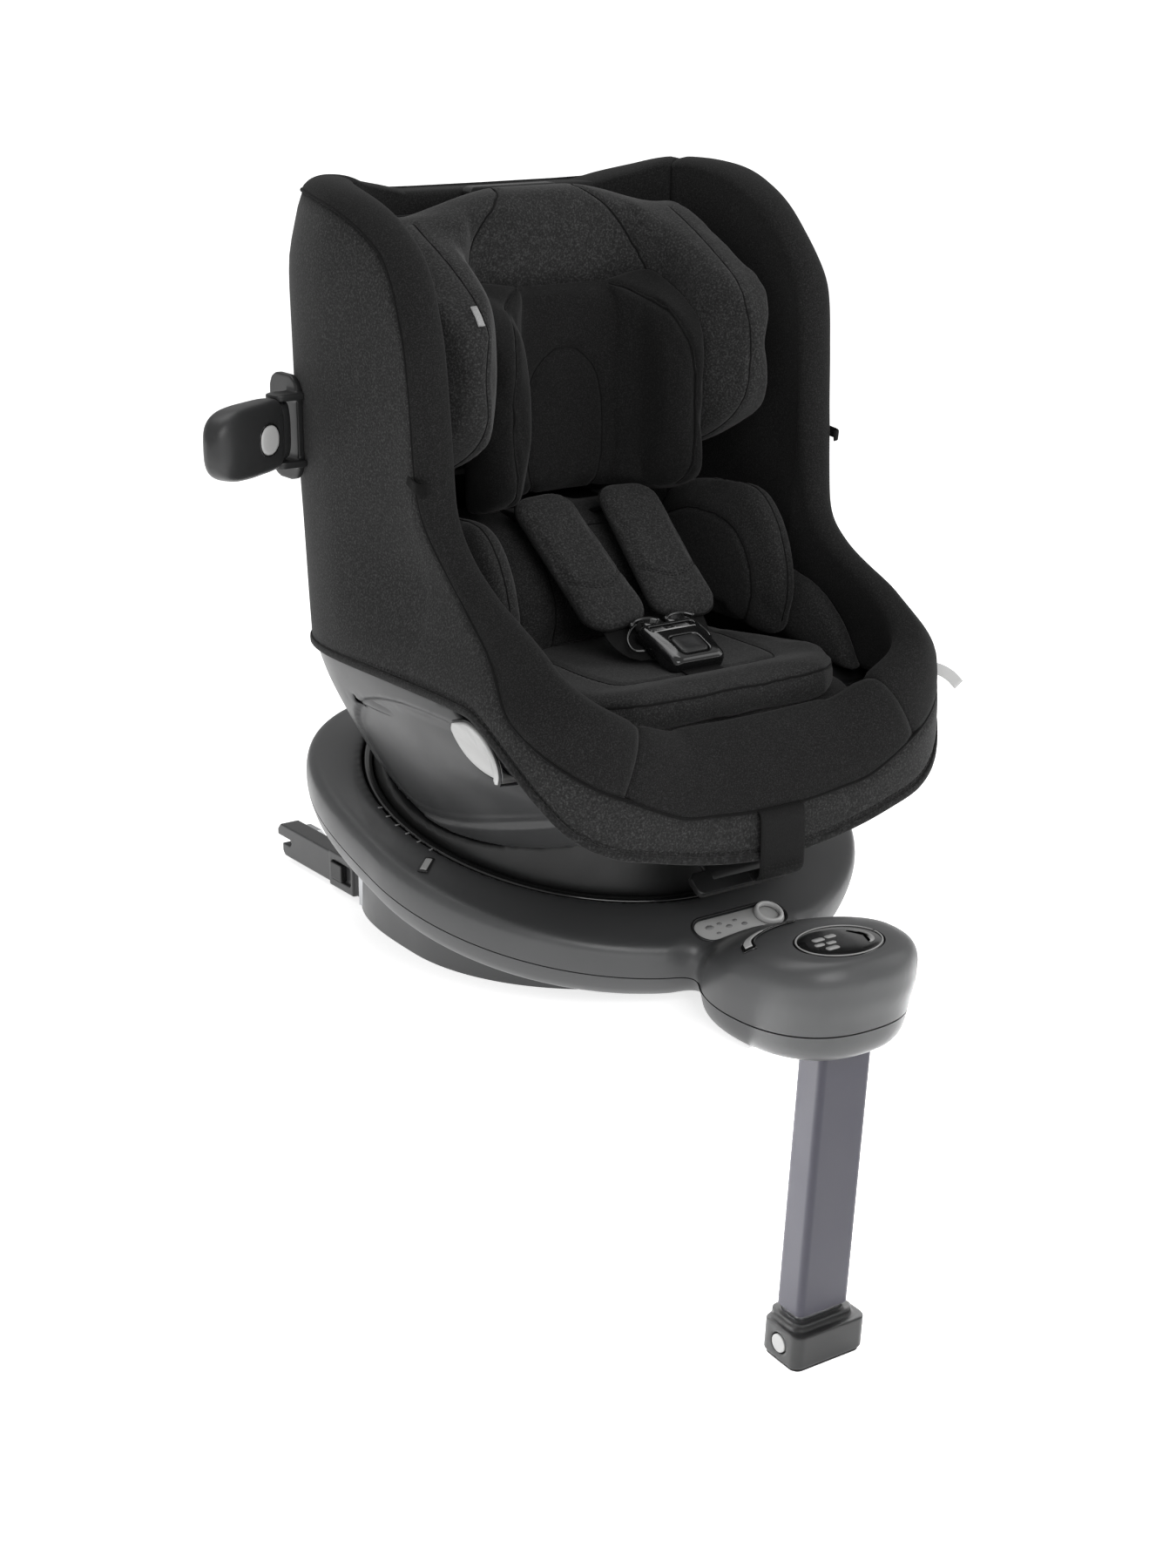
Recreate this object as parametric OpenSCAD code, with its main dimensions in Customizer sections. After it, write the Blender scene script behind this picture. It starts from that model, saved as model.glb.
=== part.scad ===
// Rotating child car seat on a wedge-shaped base with a support leg and two anchor arms.
// Row frame: +Z up from the base's flat underside, the child faces -Y, +X is the child's left.
// The origin is on the underside plane, below the middle of the turntable.

/* [Base] */
// Tilt of the turntable's axis towards the front
spin_tilt = 15; // [12:0.5:18]
// Height of the turntable's centre over the underside
ring_z = 133; // [125:1:140]
// Half-width of the base's rim
base_half_w = 232; // [228:1:238]
// Height of the highest point of the front housing
housing_h = 86; // [84:1:90]

/* [Seat] */
// Half-width of the bucket
seat_half_w = 225; // [220:1:230]
// Half-width of the space between the padded wings
cavity_half_w = 186; // [180:1:188]
// Thickness of the fabric cover over the shell
cover_t = 8; // [5:1:8]
// Thickness of the moulded shell
shell_t = 6; // [4:1:6]

/* [Headrest] */
// Half-width of the headrest over its wings
head_half_w = 162; // [150:1:166]
// Height of the headrest's top edge
head_top = 648; // [640:1:655]

/* [Support leg] */
// Width of the outer tube
leg_w = 54; // [50:1:56]
// Depth of the outer tube
leg_d = 32; // [28:1:32]
// Distance from the leg's hinge to the sole of the foot
leg_reach = 320; // [300:1:321]
// Lean of the leg's lower end towards the back
leg_lean = 4.6; // [3:0.1:5]

/* [Anchor arms] */
// Distance between the two anchor arms
anchor_span = 280; // [280:1:281]
// Radius of the jaw that takes the 6 mm anchor bar
jaw_r = 3.1; // [3.05:0.01:3.15]
// Height of the anchor bar over the underside
jaw_z = 20; // [19:0.5:21]

/* [Hidden] */
$fn = 48;
eps = 0.01;
ring_y = -ring_z * tan(spin_tilt);     // the turntable's axis meets the underside at the origin
charcoal = "#2b2b2d";
black = "#1c1c1d";
dark_grey = "#4a4a4c";
mid_grey = "#6e6e70";
light_grey = "#c9c9cb";
steel = "#8f9095";
leg_grey = "#605f6b";
right = -1;                            // the child's right-hand side lies towards -X
left = 1;

// ---- frames ----
module ring_frame() translate([0, ring_y, ring_z]) rotate([spin_tilt, 0, 0]) children();
module along_x(x0, x1) translate([x0, 0, 0]) rotate([90, 0, 90]) linear_extrude(x1 - x0) children();
module side(s) scale([s, 1, 1]) children();
module above(z) translate([-600, -600, z]) cube([1200, 1200, 900]);

// ---- outlines ----
// Oval with its own exponent in the front and the rear half: 2 is an ellipse, more is squarer
function oval(a, front, rear, cy, nf, nr, steps = 48) = [for (i = [0:steps - 1])
    let (c = cos(i * 360 / steps), s = sin(i * 360 / steps), n = s < 0 ? nf : nr, b = s < 0 ? front : rear)
    [a * sign(c) * pow(abs(c), 2 / n), cy + b * sign(s) * pow(abs(s), 2 / n)]];
// Corner cutting, which rounds a closed outline
function soften(p, n) = n == 0 ? p : soften([for (i = [0:len(p) - 1])
    let (a = p[i], b = p[(i + 1) % len(p)]) each [a * 0.75 + b * 0.25, a * 0.25 + b * 0.75]], n - 1);
function rim_outline(d) = oval(base_half_w - d, 230 - d, 243 - d, -28, 2, 3);
function plan_outline(d) = oval(seat_half_w - d, 249 - d, 198 - d, -60, 5, 4.2, 56);
hem_z = 263;                           // height of the cover's hem at the back and the sides
// Side view of the bucket; the last two numbers say which way a point draws back from the rim
rim_points = [[118, hem_z, 0, 0], [144, 330, 0, 0], [144, 640, 0, -0.7], [120, 664, 0, -1],
    [50, 666, 0, -1], [-62, 634, 0.5, -0.9], [-110, 582, 1, -0.3], [-116, 430, 1, 0],
    [-150, 362, 0.8, -0.6], [-225, 306, 0.6, -0.8], [-288, 250, 0.8, -0.6], [-318, 196, 0, 0],
    [-318, 128, 0, 0], [-290, 146, 0, 0], [-215, 222, 0, 0], [-165, hem_z - 1, 0, 0], [-95, hem_z, 0, 0]];
function bucket_side(d) = soften([for (p = rim_points) [p[0] + d * p[2], p[1] + d * p[3]]], 2);

module rounded_box(size, r) {
    // Box centred in X and Y that stands on z = 0, with round upright edges
    linear_extrude(size[2]) square([size[0] - 2 * r, size[1]], center = true);
    linear_extrude(size[2]) square([size[0], size[1] - 2 * r], center = true);
    for (x = [-1, 1], y = [-1, 1])
        translate([x * (size[0] / 2 - r), y * (size[1] / 2 - r), 0]) cylinder(r = r, h = size[2]);
}
module slab(size, r) {
    // Rounded plate centred on its own origin, thin along Y
    rotate([90, 0, 0]) translate([0, 0, -size[1] / 2]) rounded_box([size[0], size[2], size[1]], r);
}
// Closed solid through a list of rings with equal numbers of points
module loft(rings) {
    n = len(rings[0]);
    last = (len(rings) - 1) * n;
    polyhedron([for (r = rings) each r], concat(
        [[for (i = [0:n - 1]) i]],
        [[for (i = [0:n - 1]) last + n - 1 - i]],
        [for (k = [0:len(rings) - 2], i = [0:n - 1]) let (j = (i + 1) % n)
            each [[k * n + i, (k + 1) * n + j, k * n + j], [k * n + i, (k + 1) * n + i, (k + 1) * n + j]]]));
}
function at_height(points, z) = [for (p = points) [p[0], p[1], z]];

// ---- base ----
split_w = -42;                         // seam between the two base shells, along the turntable's axis
housing_split = 26;                    // the same seam on the front housing
underside_t = 3;
channel = [41, -344, -58, 51];         // leg recess: half-width, front, back, height
hinge = [0, -384, 34];                 // leg hinge
recess_r = 197;                        // turntable recess
arm_x = anchor_span / 2;

module lower_body(d) ring_frame() loft([
    at_height(rim_outline(66 + d), -260), at_height(rim_outline(50 + d), -73), at_height(rim_outline(22 + d), -71),
    at_height(rim_outline(13 + d), -66), at_height(rim_outline(6 + d), -56), at_height(rim_outline(2 + d), split_w)]);
module housing_body(d) loft([for (s = [[2, 46, 66, 92], [16, 60, 78, 100], [34, 74, 85, 100], [56, 80, 89, 96],
    [housing_h - 14, 78, 88, 84], [housing_h - 4, 70, 81, 72], [housing_h, 60, 70, 60]])
    at_height(oval(s[1] - d, s[2] - d, s[3], -345, 2.4, 2), s[0] - (s[0] > 50 ? d : 0))]);
module leg_recess(grow) {
    translate([-channel[0] - grow, channel[1], -1])
        cube([2 * (channel[0] + grow), channel[2] - channel[1] + grow, channel[3] + 1 + grow]);
    translate([-leg_w / 2 - 2 - grow, -408 - grow, -1])
        cube([leg_w + 4 + 2 * grow, 70, channel[3] + 20 + grow]);
}
module arm_passage(s) translate([s * arm_x - 20, -62, underside_t]) cube([40, 300, 38]);

module base_lower_shell() color(dark_grey) difference() {
    intersection() {
        union() {
            difference() {
                lower_body(0);
                intersection() {
                    lower_body(4);
                    above(underside_t);
                }
            }
            intersection() {
                lower_body(1);
                leg_recess(3);
            }
            difference() {
                housing_body(0);
                above(housing_split);
                translate([0, 0, underside_t]) housing_body(4);
            }
        }
        above(0);
    }
    leg_recess(0);
    for (s = [right, left]) arm_passage(s);
    for (p = screw_places) translate([p[0], p[1], -1]) cylinder(r = 2.2, h = 8);
}
screw_places = [for (s = [-1, 1], y = [-180, -110, -40, 40]) [s * 75, y]];

// The deck falls from the turntable's recess to the rim
module deck(d) ring_frame() loft([at_height(rim_outline(3 + d), split_w + 0.2),
    at_height(rim_outline(d), -26), at_height(rim_outline(d), -16 - d), at_height(rim_outline(4 + d), -12 - d),
    at_height(oval(206, 206, 206, 0, 2, 2), -2 - d)]);
module mode_slot() ring_frame() translate([0, -235, -11]) rotate([8, 0, 0])
    rounded_box([92, 26, 30], 12);
module base_upper_shell() color(dark_grey) difference() {
    union() {
        difference() {
            deck(0);
            translate([0, 0, -1]) deck(3.5);
        }
        intersection() {
            deck(0.5);
            ring_frame() translate([0, 0, -17]) cylinder(r = recess_r + 5, h = 18, $fn = 96);
        }
        difference() {
            intersection() {
                housing_body(0);
                above(housing_split + 0.2);
            }
            housing_body(4);
            lower_body(-0.3);
            translate([0, 0, -1]) deck(3.5);
        }
        intersection() {
            deck(0.5);
            ring_frame() translate([0, -235, -14]) rotate([8, 0, 0]) rounded_box([100, 34, 30], 16);
        }
    }
    ring_frame() {
        translate([0, 0, -13]) cylinder(r = recess_r, h = 30, $fn = 96);
        translate([0, 0, -60]) cylinder(r = 46, h = 60);
    }
    mode_slot();
    panel_place() cylinder(r = 1, h = 20);
    leg_recess(1);
}
module bearing_ring() color(steel) ring_frame() difference() {
    translate([0, 0, -12.8]) cylinder(r = 150, h = 2.4, $fn = 96);
    translate([0, 0, -14]) cylinder(r = 120, h = 5, $fn = 96);
}
module panel_place(gap = 0) translate([0, -386, housing_h - 6 + gap]) scale([38 - gap, 31 - gap, 1]) children();
module control_panel() color(black) difference() {
    panel_place(0.2) cylinder(r = 1, h = 7);
    for (x = lens_x) translate([x, -386, housing_h - 1]) rounded_box([14, 12, 9], 3);
}
lens_x = [-19, 0, 19];
module indicator_lenses() color(light_grey)
    for (x = lens_x) translate([x, -386, housing_h - 0.9]) rounded_box([13.8, 11.8, 2.6], 2.9);
module mode_plate() color(light_grey) ring_frame() translate([0, -235, -10.9]) rotate([8, 0, 0])
    rounded_box([91.4, 25.4, 1], 11.7);
module leg_bracket() color(steel) for (s = [-1, 1]) {
    difference() {
        translate([s * 31.5 - 1.5, hinge[1] - 18, hinge[2] - 12]) cube([3, 36, 30]);
        translate([s * 31.5 - 5, hinge[1], hinge[2]]) rotate([0, 90, 0]) cylinder(r = 5.02, h = 10);
    }
}
module leg_hinge_pin() color(steel) translate([-35, hinge[1], hinge[2]]) rotate([0, 90, 0])
    cylinder(r = 5, h = 70);
module isofix_guide_rails() color(steel) for (s = [right, left], k = [-1, 1])
    translate([s * arm_x + k * 19.35 - 0.5, -55, underside_t + 0.2]) cube([1, 150, k == s ? 32 : 9]);
module base_screws() color(steel) for (p = screw_places) translate([p[0], p[1], 0.4]) {
    cylinder(r = 2, h = 12);
    translate([0, 0, 2.8]) cylinder(r = 4, h = 2);
}

// ---- support leg ----
module leg_frame() translate(hinge) rotate([leg_lean, 0, 0]) children();
leg_front = -20.9;                     // front face of the tube from the hinge
leg_mid = leg_front + leg_d / 2;
tube_t = 2;
foot_top = 38 - leg_reach;
module tube(w, d, z0, z1, t) translate([0, leg_mid, z0]) difference() {
    rounded_box([w, d, z1 - z0], 6);
    translate([0, 0, -1]) rounded_box([w - 2 * t, d - 2 * t, z1 - z0 + 2], 5);
}
module leg_outer_tube() color(leg_grey) leg_frame() difference() {
    tube(leg_w, leg_d, foot_top + 6, 12, tube_t);
    rotate([0, 90, 0]) cylinder(r = 8, h = 100, center = true);
}
module leg_knuckle() color(black) leg_frame() difference() {
    union() {
        translate([0, leg_mid, -34]) rounded_box([leg_w - 4.4, leg_d - 4.4, 45], 5.4);
        rotate([0, 90, 0]) cylinder(r = 7.9, h = leg_w + 2, center = true);
    }
    rotate([0, 90, 0]) cylinder(r = 5.06, h = 100, center = true);
}
module leg_inner_tube() color(steel) leg_frame() tube(leg_w - 6, leg_d - 6, foot_top - 8, -42, 1.8);
module leg_foot() color(black) leg_frame() difference() {
    union() {
        translate([0, -10, 3 - leg_reach]) rounded_box([76, 47, 30], 9);
        translate([0, leg_mid, foot_top - 8]) rounded_box([62, 40, 9], 9);
    }
    tube(leg_w - 5.6, leg_d - 5.6, foot_top - 8.1, 0, 2.6);
    translate([-39, -10, 18 - leg_reach]) rotate([0, 90, 0]) cylinder(r = 9.3, h = 9);
}
module foot_sole() color(black) leg_frame() translate([0, -10, -leg_reach]) rounded_box([72, 43, 2.9], 8);
module foot_button() color(light_grey) leg_frame() translate([-38.6, -10, 18 - leg_reach])
    rotate([0, 90, 0]) cylinder(r = 9, h = 4.4);

// ---- anchor arms ----
jaw_y = 238;
arm_h = 30;
module isofix_arm(s) color(mid_grey) translate([s * arm_x, 0, 0]) {
    translate([s > 0 ? -13.3 : 6, hook_pivot[0], hook_pivot[1]]) rotate([0, 90, 0]) cylinder(r = 2, h = 7.3);
    arm_body(s);
}
module arm_body(s) difference() {
    union() {
        along_x(-13.5, 13.5) polygon([[62, 5], [248, 5], [252, 9], [252, jaw_z - jaw_r], [jaw_y, jaw_z - jaw_r],
            [jaw_y, jaw_z + jaw_r], [261, jaw_z + jaw_r], [261, 29], [255, 5 + arm_h], [62, 5 + arm_h]]);
        translate([-16.5, 112, 4]) cube([33, 44, 34]);
    }
    translate([-50, jaw_y, jaw_z]) rotate([0, 90, 0]) cylinder(r = jaw_r, h = 100);
    translate([s > 0 ? -14 : 6.5, 196, -1]) cube([7.5, 80, 50]);
    translate([s > 0 ? 12.5 : -17.5, 117, 12]) cube([5, 34, 18]);
    translate([-20, 85, jaw_z]) rotate([0, 90, 0]) cylinder(r = 7.02, h = 40);
}
module isofix_arm_right() isofix_arm(right);
module isofix_arm_left() isofix_arm(left);
module isofix_crossbar() color(steel) translate([-arm_x - 13.5, 85, jaw_z]) rotate([0, 90, 0])
    difference() {
        cylinder(r = 7, h = anchor_span + 27);
        translate([0, 0, -1]) cylinder(r = 5, h = anchor_span + 29);
    }
hook_pivot = [212, 20];                // along Y and Z
module isofix_hook(s) color(steel) translate([s * (arm_x - 10), 0, 0]) difference() {
    along_x(-3, 3) polygon([[205, 17], [214, 14], [222, 20], [232, 25], [242.5, 25], [242.5, 14], [248, 14],
        [249, 31], [243, 33], [222, 33], [206, 26]]);
    translate([-10, hook_pivot[0], hook_pivot[1]]) rotate([0, 90, 0]) cylinder(r = 2.05, h = 20);
}
module isofix_hook_right() isofix_hook(right);
module isofix_hook_left() isofix_hook(left);
module isofix_release(s) color(dark_grey) translate([s * arm_x + s * 12.7, 0, 0])
    along_x(s > 0 ? 0 : -6, s > 0 ? 6 : 0) polygon([[130, 13], [150, 13], [150, 29], [130, 29]]);
module isofix_release_right() isofix_release(right);
module isofix_release_left() isofix_release(left);

// ---- turntable ----
recline_c = [-10, 300];                // recline axis in the ring frame: along v and along the turntable's axis
recline_r = 292;
module recline_drum(r) translate([-300, recline_c[0], recline_c[1]]) rotate([0, 90, 0])
    cylinder(r = r, h = 600, $fn = 180);
module turntable_platform() color(mid_grey) ring_frame() difference() {
    union() {
        translate([0, 0, -10]) cylinder(r = 195.5, h = 9.5, $fn = 96);
        translate([0, 0, -1]) cylinder(r = 188, h = 9, $fn = 96);
        intersection() {
            cylinder(r1 = 188, r2 = 180, h = 60, $fn = 96);
            translate([-150, -200, 0]) cube([300, 400, 60]);
        }
    }
    recline_drum(recline_r + 1);
    intersection() {                   // room for the shell's flange when the bucket lies back
        recline_drum(recline_r + 15);
        translate([-300, 112, -5]) cube([600, 200, 100]);
    }
    translate([0, 0, -11]) cylinder(r = 20.05, h = 40);
}
module turntable_spindle() color(steel) ring_frame() {
    translate([0, 0, -40]) cylinder(r = 20, h = 44);
    translate([0, 0, -44]) cylinder(r = 32, h = 4);
}
module direction_slider() color(light_grey) ring_frame() translate([30, -235, -9.6]) rotate([8, 0, 0])
    difference() {
        cylinder(r = 12, h = 9);
        translate([0, 0, 2]) cylinder(r = 8, h = 9);
    }

// ---- bucket ----
module bowl_body(d) ring_frame() loft([for (s = [[0, 180, 180, 180, 2, 2], [20, 190, 190, 186, 2, 2.3],
    [45, 200, 200, 194, 2.2, 3], [75, 210, 214, 200, 2.4, 4], [105, 218, 236, 206, 2.7, 4.4],
    [135, 222, 258, 212, 3, 4.4], [260, 224, 262, 224, 3, 4.4]])
    at_height(oval(s[1] - d, s[2] - d, s[3] - d, 0, s[4], s[5]), s[0])]);
module under_hem() difference() {
    along_x(-300, 300) polygon([[160, hem_z], [-95, hem_z], [-165, hem_z - 1], [-215, 222], [-290, 146],
        [-318, 128], [-330, 120], [-330, 40], [160, 40]]);
    along_x(-300, 300) translate([0, -0.5]) polygon(bucket_side(0));
}
module spin_button_frame(s) ring_frame() translate([s * 186, -98, 92]) rotate([0, 0, s * -22])
    rotate([0, s * 90, 0]) children();
module seat_bowl() color(mid_grey) difference() {
    intersection() {
        bowl_body(0);
        ring_frame() recline_drum(recline_r);
        under_hem();
    }
    intersection() {
        bowl_body(5);
        ring_frame() recline_drum(recline_r - 5);
    }
    for (s = [right, left]) spin_button_frame(s) translate([0, 0, -20]) cylinder(r = 24.3, h = 60);
}
module spin_button(s) color(light_grey) spin_button_frame(s) translate([0, 0, 5]) cylinder(r = 24, h = 12);
module spin_button_right() spin_button(right);
module spin_button_left() spin_button(left);

// Wall between two insets of the plan, cut to the side view
module wall(side_d, outer_d, inner_d) intersection() {
    along_x(-300, 300) polygon(bucket_side(side_d));
    translate([0, 0, 60]) linear_extrude(640) difference() {
        polygon(plan_outline(outer_d));
        polygon(plan_outline(inner_d));
    }
}
module basin(outer_d, inner_d, z0, z1) translate([0, 0, z0]) linear_extrude(z1 - z0) difference() {
    polygon(plan_outline(outer_d));
    polygon(plan_outline(inner_d));
}
module outer_cover() color(charcoal) wall(6, 0, cover_t);
basin_floor = 206;
flange_z = hem_z + 1;                  // flange that joins the shell's wall to its basin
flange_front = -200;
module inside_bowl() ring_frame() recline_drum(recline_r - 5.6);
module seat_shell() color(black) difference() {
    union() {
        difference() {
            wall(22, cover_t + 0.3, cover_t + 0.3 + shell_t);
            translate([-300, -400, 0]) cube([600, 250, 700]);
        }
        intersection() {
            basin(46, 52, basin_floor, flange_z + shell_t);
            inside_bowl();
        }
        intersection() {
            basin(cover_t + 0.3, 52, flange_z, flange_z + shell_t);
            translate([-300, flange_front, 200]) cube([600, 400, 100]);
        }
        intersection() {
            translate([0, 0, basin_floor]) linear_extrude(shell_t) polygon(plan_outline(50));
            inside_bowl();
        }
    }
    translate([-100, -300, 232]) cube([200, 80, 60]);
}
// Room for the bolsters: over the flange, or inside the basin
module over_basin() {
    above(flange_z + shell_t + 0.3);
    linear_extrude(400) polygon(plan_outline(52.3));
}
module rim_pad(s) color(black) side(s) difference() {
    intersection() {
        along_x(cavity_half_w, 300) polygon(bucket_side(0));
        translate([0, 0, 230]) linear_extrude(640) polygon(plan_outline(0));
    }
    translate([-300, flange_front - 0.4, 200]) cube([600, 400, flange_z + shell_t + 0.3 - 200]);
    translate([0, 0, 60]) linear_extrude(700) difference() {
        polygon(plan_outline(-60));
        polygon(plan_outline(cover_t + 0.3 + shell_t + 0.3));
    }
    translate([0, 90, 0]) cube([400, 200, 900]);
}
module rim_pad_right() rim_pad(right);
module rim_pad_left() rim_pad(left);
module front_lip_pad() color(black) difference() {
    intersection() {
        along_x(-cavity_half_w + 0.4, cavity_half_w - 0.4) polygon([[-301, 151], [-301, 190], [-288, 236],
            [-274, 246], [-267, 244], [-264.5, 238], [-264.5, 174], [-288, 150]]);
        translate([0, 0, 60]) linear_extrude(640) polygon(plan_outline(cover_t + 0.3));
    }
    translate([-34, -320, 145]) cube([68, 46, 36]);
}
module back_liner() color(black) intersection() {
    translate([-cavity_half_w + 0.4, 86, flange_z + shell_t + 0.3])
        cube([2 * cavity_half_w - 0.8, 60, 366]);
    translate([0, 0, 60]) linear_extrude(640) polygon(plan_outline(cover_t + shell_t + 0.8));
}
module seat_base_pad() color(black) translate([0, 0, basin_floor + shell_t + 0.3]) linear_extrude(24)
    intersection() {
        polygon(plan_outline(54));
        translate([-165, -280]) square([330, 350]);
    }
module seat_cushion() color(black) translate([0, 0, 236.9]) linear_extrude(25)
    polygon(soften([[-112, 20], [112, 20], [126, -252], [0, -258], [-126, -252]], 2));
module back_insert() color(charcoal) along_x(-98, 98)
    polygon([[72, 262.5], [72, 366], [-20, 366], [-72, 320], [-86, 262.5]]);
module bolster(s) color(black) side(s) intersection() {
    along_x(128.5, cavity_half_w - 0.5) polygon(soften([[70, 237], [80, 362], [-20, 388], [-60, 390],
        [-96, 397], [-130, 366], [-148, 318], [-146, 284], [-190, 270], [-205, 237]], 2));
    over_basin();
}
module bolster_right() bolster(right);
module bolster_left() bolster(left);

// ---- harness ----
pad_mid = [40, -83, 341];              // centre of a shoulder pad
pad_rise = 39;                         // how steeply the pads climb
module pad_frame(s) translate([s * pad_mid[0], pad_mid[1], pad_mid[2]]) rotate([pad_rise, 0, s * -4]) children();
module shoulder_pad(s) color(charcoal) pad_frame(s) difference() {
    translate([0, 0, -7]) rounded_box([50, 140, 14], 12);
    translate([-20, -80, -1.2]) cube([40, 160, 2.4]);
}
module shoulder_pad_right() shoulder_pad(right);
module shoulder_pad_left() shoulder_pad(left);
module harness_webbing() color(black) for (s = [right, left]) {
    pad_frame(s) translate([-19, -71, -0.8]) cube([38, 143, 1.6]);
    translate([s * 40 - 19, -20, 368.4]) cube([38, 104, 1.6]);
}
buckle_at = [0, -173, 273.6];
buckle_tilt = 22;
buckle_size = [60, 56, 16];
module buckle_frame() translate(buckle_at) rotate([buckle_tilt, 0, 0]) children();
module buckle() color(black) buckle_frame() difference() {
    rounded_box(buckle_size, 12);
    translate([0, -8, 6.6]) rounded_box([26.4, 22.4, 12], 5);
    for (s = [-1, 1]) translate([s * 17 - 10.3, 16, 5]) cube([20.6, 20, 6.6]);
}
module buckle_tongues() color(black) for (s = [-1, 1]) buckle_frame() {
    translate([s * 17 - 10, 16.3, 5.3]) cube([20, 15, 6]);
    translate([s * 23, 32.5, 5.3]) rounded_box([40, 6, 6], 2.8);
}
module buckle_button() color(black) buckle_frame() translate([0, -8, 11.6]) rounded_box([26, 22, 6], 4.8);
module crotch_strap() color(black) translate([-19, -222, 262.3]) cube([38, 22, 1.8]);
module adjuster_strap() color(black) translate([-23, -310.8, 118]) cube([46, 1.6, 56]);
adjuster_y = -299.5;
module harness_adjuster() color(steel) difference() {
    translate([-28, adjuster_y, 155]) cube([56, 25, 20]);
    translate([-24, adjuster_y - 2, 158]) cube([48, 20, 20]);
}
module adjuster_button() color(black) translate([-20, adjuster_y + 1.5, 160]) cube([40, 13, 13]);

// ---- headrest ----
module headrest_frame() color(black) translate([-120, 74, 392]) cube([240, 6, 226]);
function head_plan(half, front, back, t, throat) = [[half, back], [half, front + 20], [half - 12, front],
    [half - t + 12, front], [half - t, front + 24], [half - t, throat - 26], [half - t - 26, throat],
    [-half + t + 26, throat], [-half + t, throat - 26], [-half + t, front + 24], [-half + t - 12, front],
    [-half + 12, front], [-half, front + 20], [-half, back]];
module headrest_pad() color(charcoal) intersection() {
    translate([0, 0, 300]) linear_extrude(400) polygon(head_plan(head_half_w, -97, 73.5, 54, 20));
    along_x(-200, 200) polygon(soften([[74, 392], [74, head_top + 6], [20, head_top + 4], [-46, 610],
        [-94, 560], [-106, 510], [-98, 466], [-66, 434], [-20, 408], [30, 392]], 2));
}
module head_insert() color(black) intersection() {
    translate([0, 0, 300]) linear_extrude(400) difference() {
        polygon(head_plan(107.5, -80, 19.5, 36, -2));
        polygon(head_plan(head_half_w, -97, 73.5, 54.5, 19.6));
    }
    along_x(-200, 200) polygon(soften([[22, 371.5], [22, 575], [-20, 570], [-84, 520], [-90, 400], [-30, 371.5]], 2));
}
module headrest_lever() color(light_grey) translate([0, 77, 632]) slab([90, 12, 14], 5);

// ---- side pods ----
pod_root = [243, 58, 452];
pod_angle = 30;                        // forward lean of a pod that is out
pod_fold = 56;                         // further turn that lays it along the wing
pod_pin_r = 4;
pod_ear_r = 10.5;
module pod_frame(s, turn) translate([s * pod_root[0], pod_root[1], pod_root[2]])
    rotate([0, 0, s * -turn]) side(s) children();
module pod_collars() color(black) for (s = [right, left]) side(s) difference() {
    union() {
        translate([223, 76, pod_root[2]]) rotate([0, 90, 0]) rounded_box([88, 48, 6], 16);
        for (k = [-1, 1]) translate([0, 0, pod_root[2] + k * 28 - 3]) {
            translate([pod_root[0], pod_root[1], 0]) cylinder(r = pod_ear_r, h = 6);
            translate([223, pod_root[1] - pod_ear_r, 0]) cube([pod_root[0] - 223, 2 * pod_ear_r, 6]);
        }
        translate([pod_root[0], pod_root[1], pod_root[2] - 30]) cylinder(r = pod_pin_r, h = 60);
    }
    linear_extrude(900) polygon(plan_outline(-0.4));
}
module pod(s, turn) color(black) pod_frame(s, turn) difference() {
    union() {
        translate([58, 0, -30]) rounded_box([92, 34, 60], 15);
        translate([0, 0, -24]) cylinder(r = 9, h = 48);
        translate([0, -9, -24]) cube([20, 18, 48]);
    }
    translate([0, 0, -40]) cylinder(r = pod_pin_r + 0.05, h = 80);
    translate([40, -17, 0]) rotate([90, 0, 0]) cylinder(r = 12.2, h = 12, center = true);
}
module pod_right() pod(right, pod_angle);
module pod_left() pod(left, pod_angle + pod_fold);
module pod_button(s, turn) color(light_grey) pod_frame(s, turn) translate([40, -17.6, 0])
    rotate([90, 0, 0]) cylinder(r = 12, h = 5, center = true);
module pod_button_right() pod_button(right, pod_angle);
module pod_button_left() pod_button(left, pod_angle + pod_fold);
module recline_handle() color(light_grey) translate([0, -262, 96]) rotate([38, 0, 0])
    rounded_box([110, 26, 8], 7);

base_lower_shell();
base_upper_shell();
bearing_ring();
leg_bracket();
leg_hinge_pin();
control_panel();
indicator_lenses();
mode_plate();
isofix_guide_rails();
base_screws();
leg_outer_tube();
leg_knuckle();
leg_inner_tube();
leg_foot();
foot_sole();
foot_button();
isofix_arm_right();
isofix_arm_left();
isofix_crossbar();
isofix_hook_right();
isofix_hook_left();
isofix_release_right();
isofix_release_left();
direction_slider();
turntable_platform();
turntable_spindle();
seat_bowl();
seat_shell();
outer_cover();
rim_pad_right();
rim_pad_left();
front_lip_pad();
back_liner();
seat_base_pad();
seat_cushion();
back_insert();
bolster_right();
bolster_left();
harness_webbing();
shoulder_pad_right();
shoulder_pad_left();
crotch_strap();
buckle();
buckle_tongues();
buckle_button();
adjuster_strap();
harness_adjuster();
adjuster_button();
headrest_frame();
headrest_pad();
head_insert();
headrest_lever();
pod_collars();
pod_right();
pod_left();
pod_button_right();
pod_button_left();
spin_button_right();
spin_button_left();
recline_handle();
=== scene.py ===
"""Looks of a rotating convertible car seat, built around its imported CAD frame.

Lengths are in millimetres up to the moment a mesh is made, and every mesh is in metres.
"right" is the seat's -X side and "left" its +X side, as in the CAD names.
"""

import math

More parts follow.
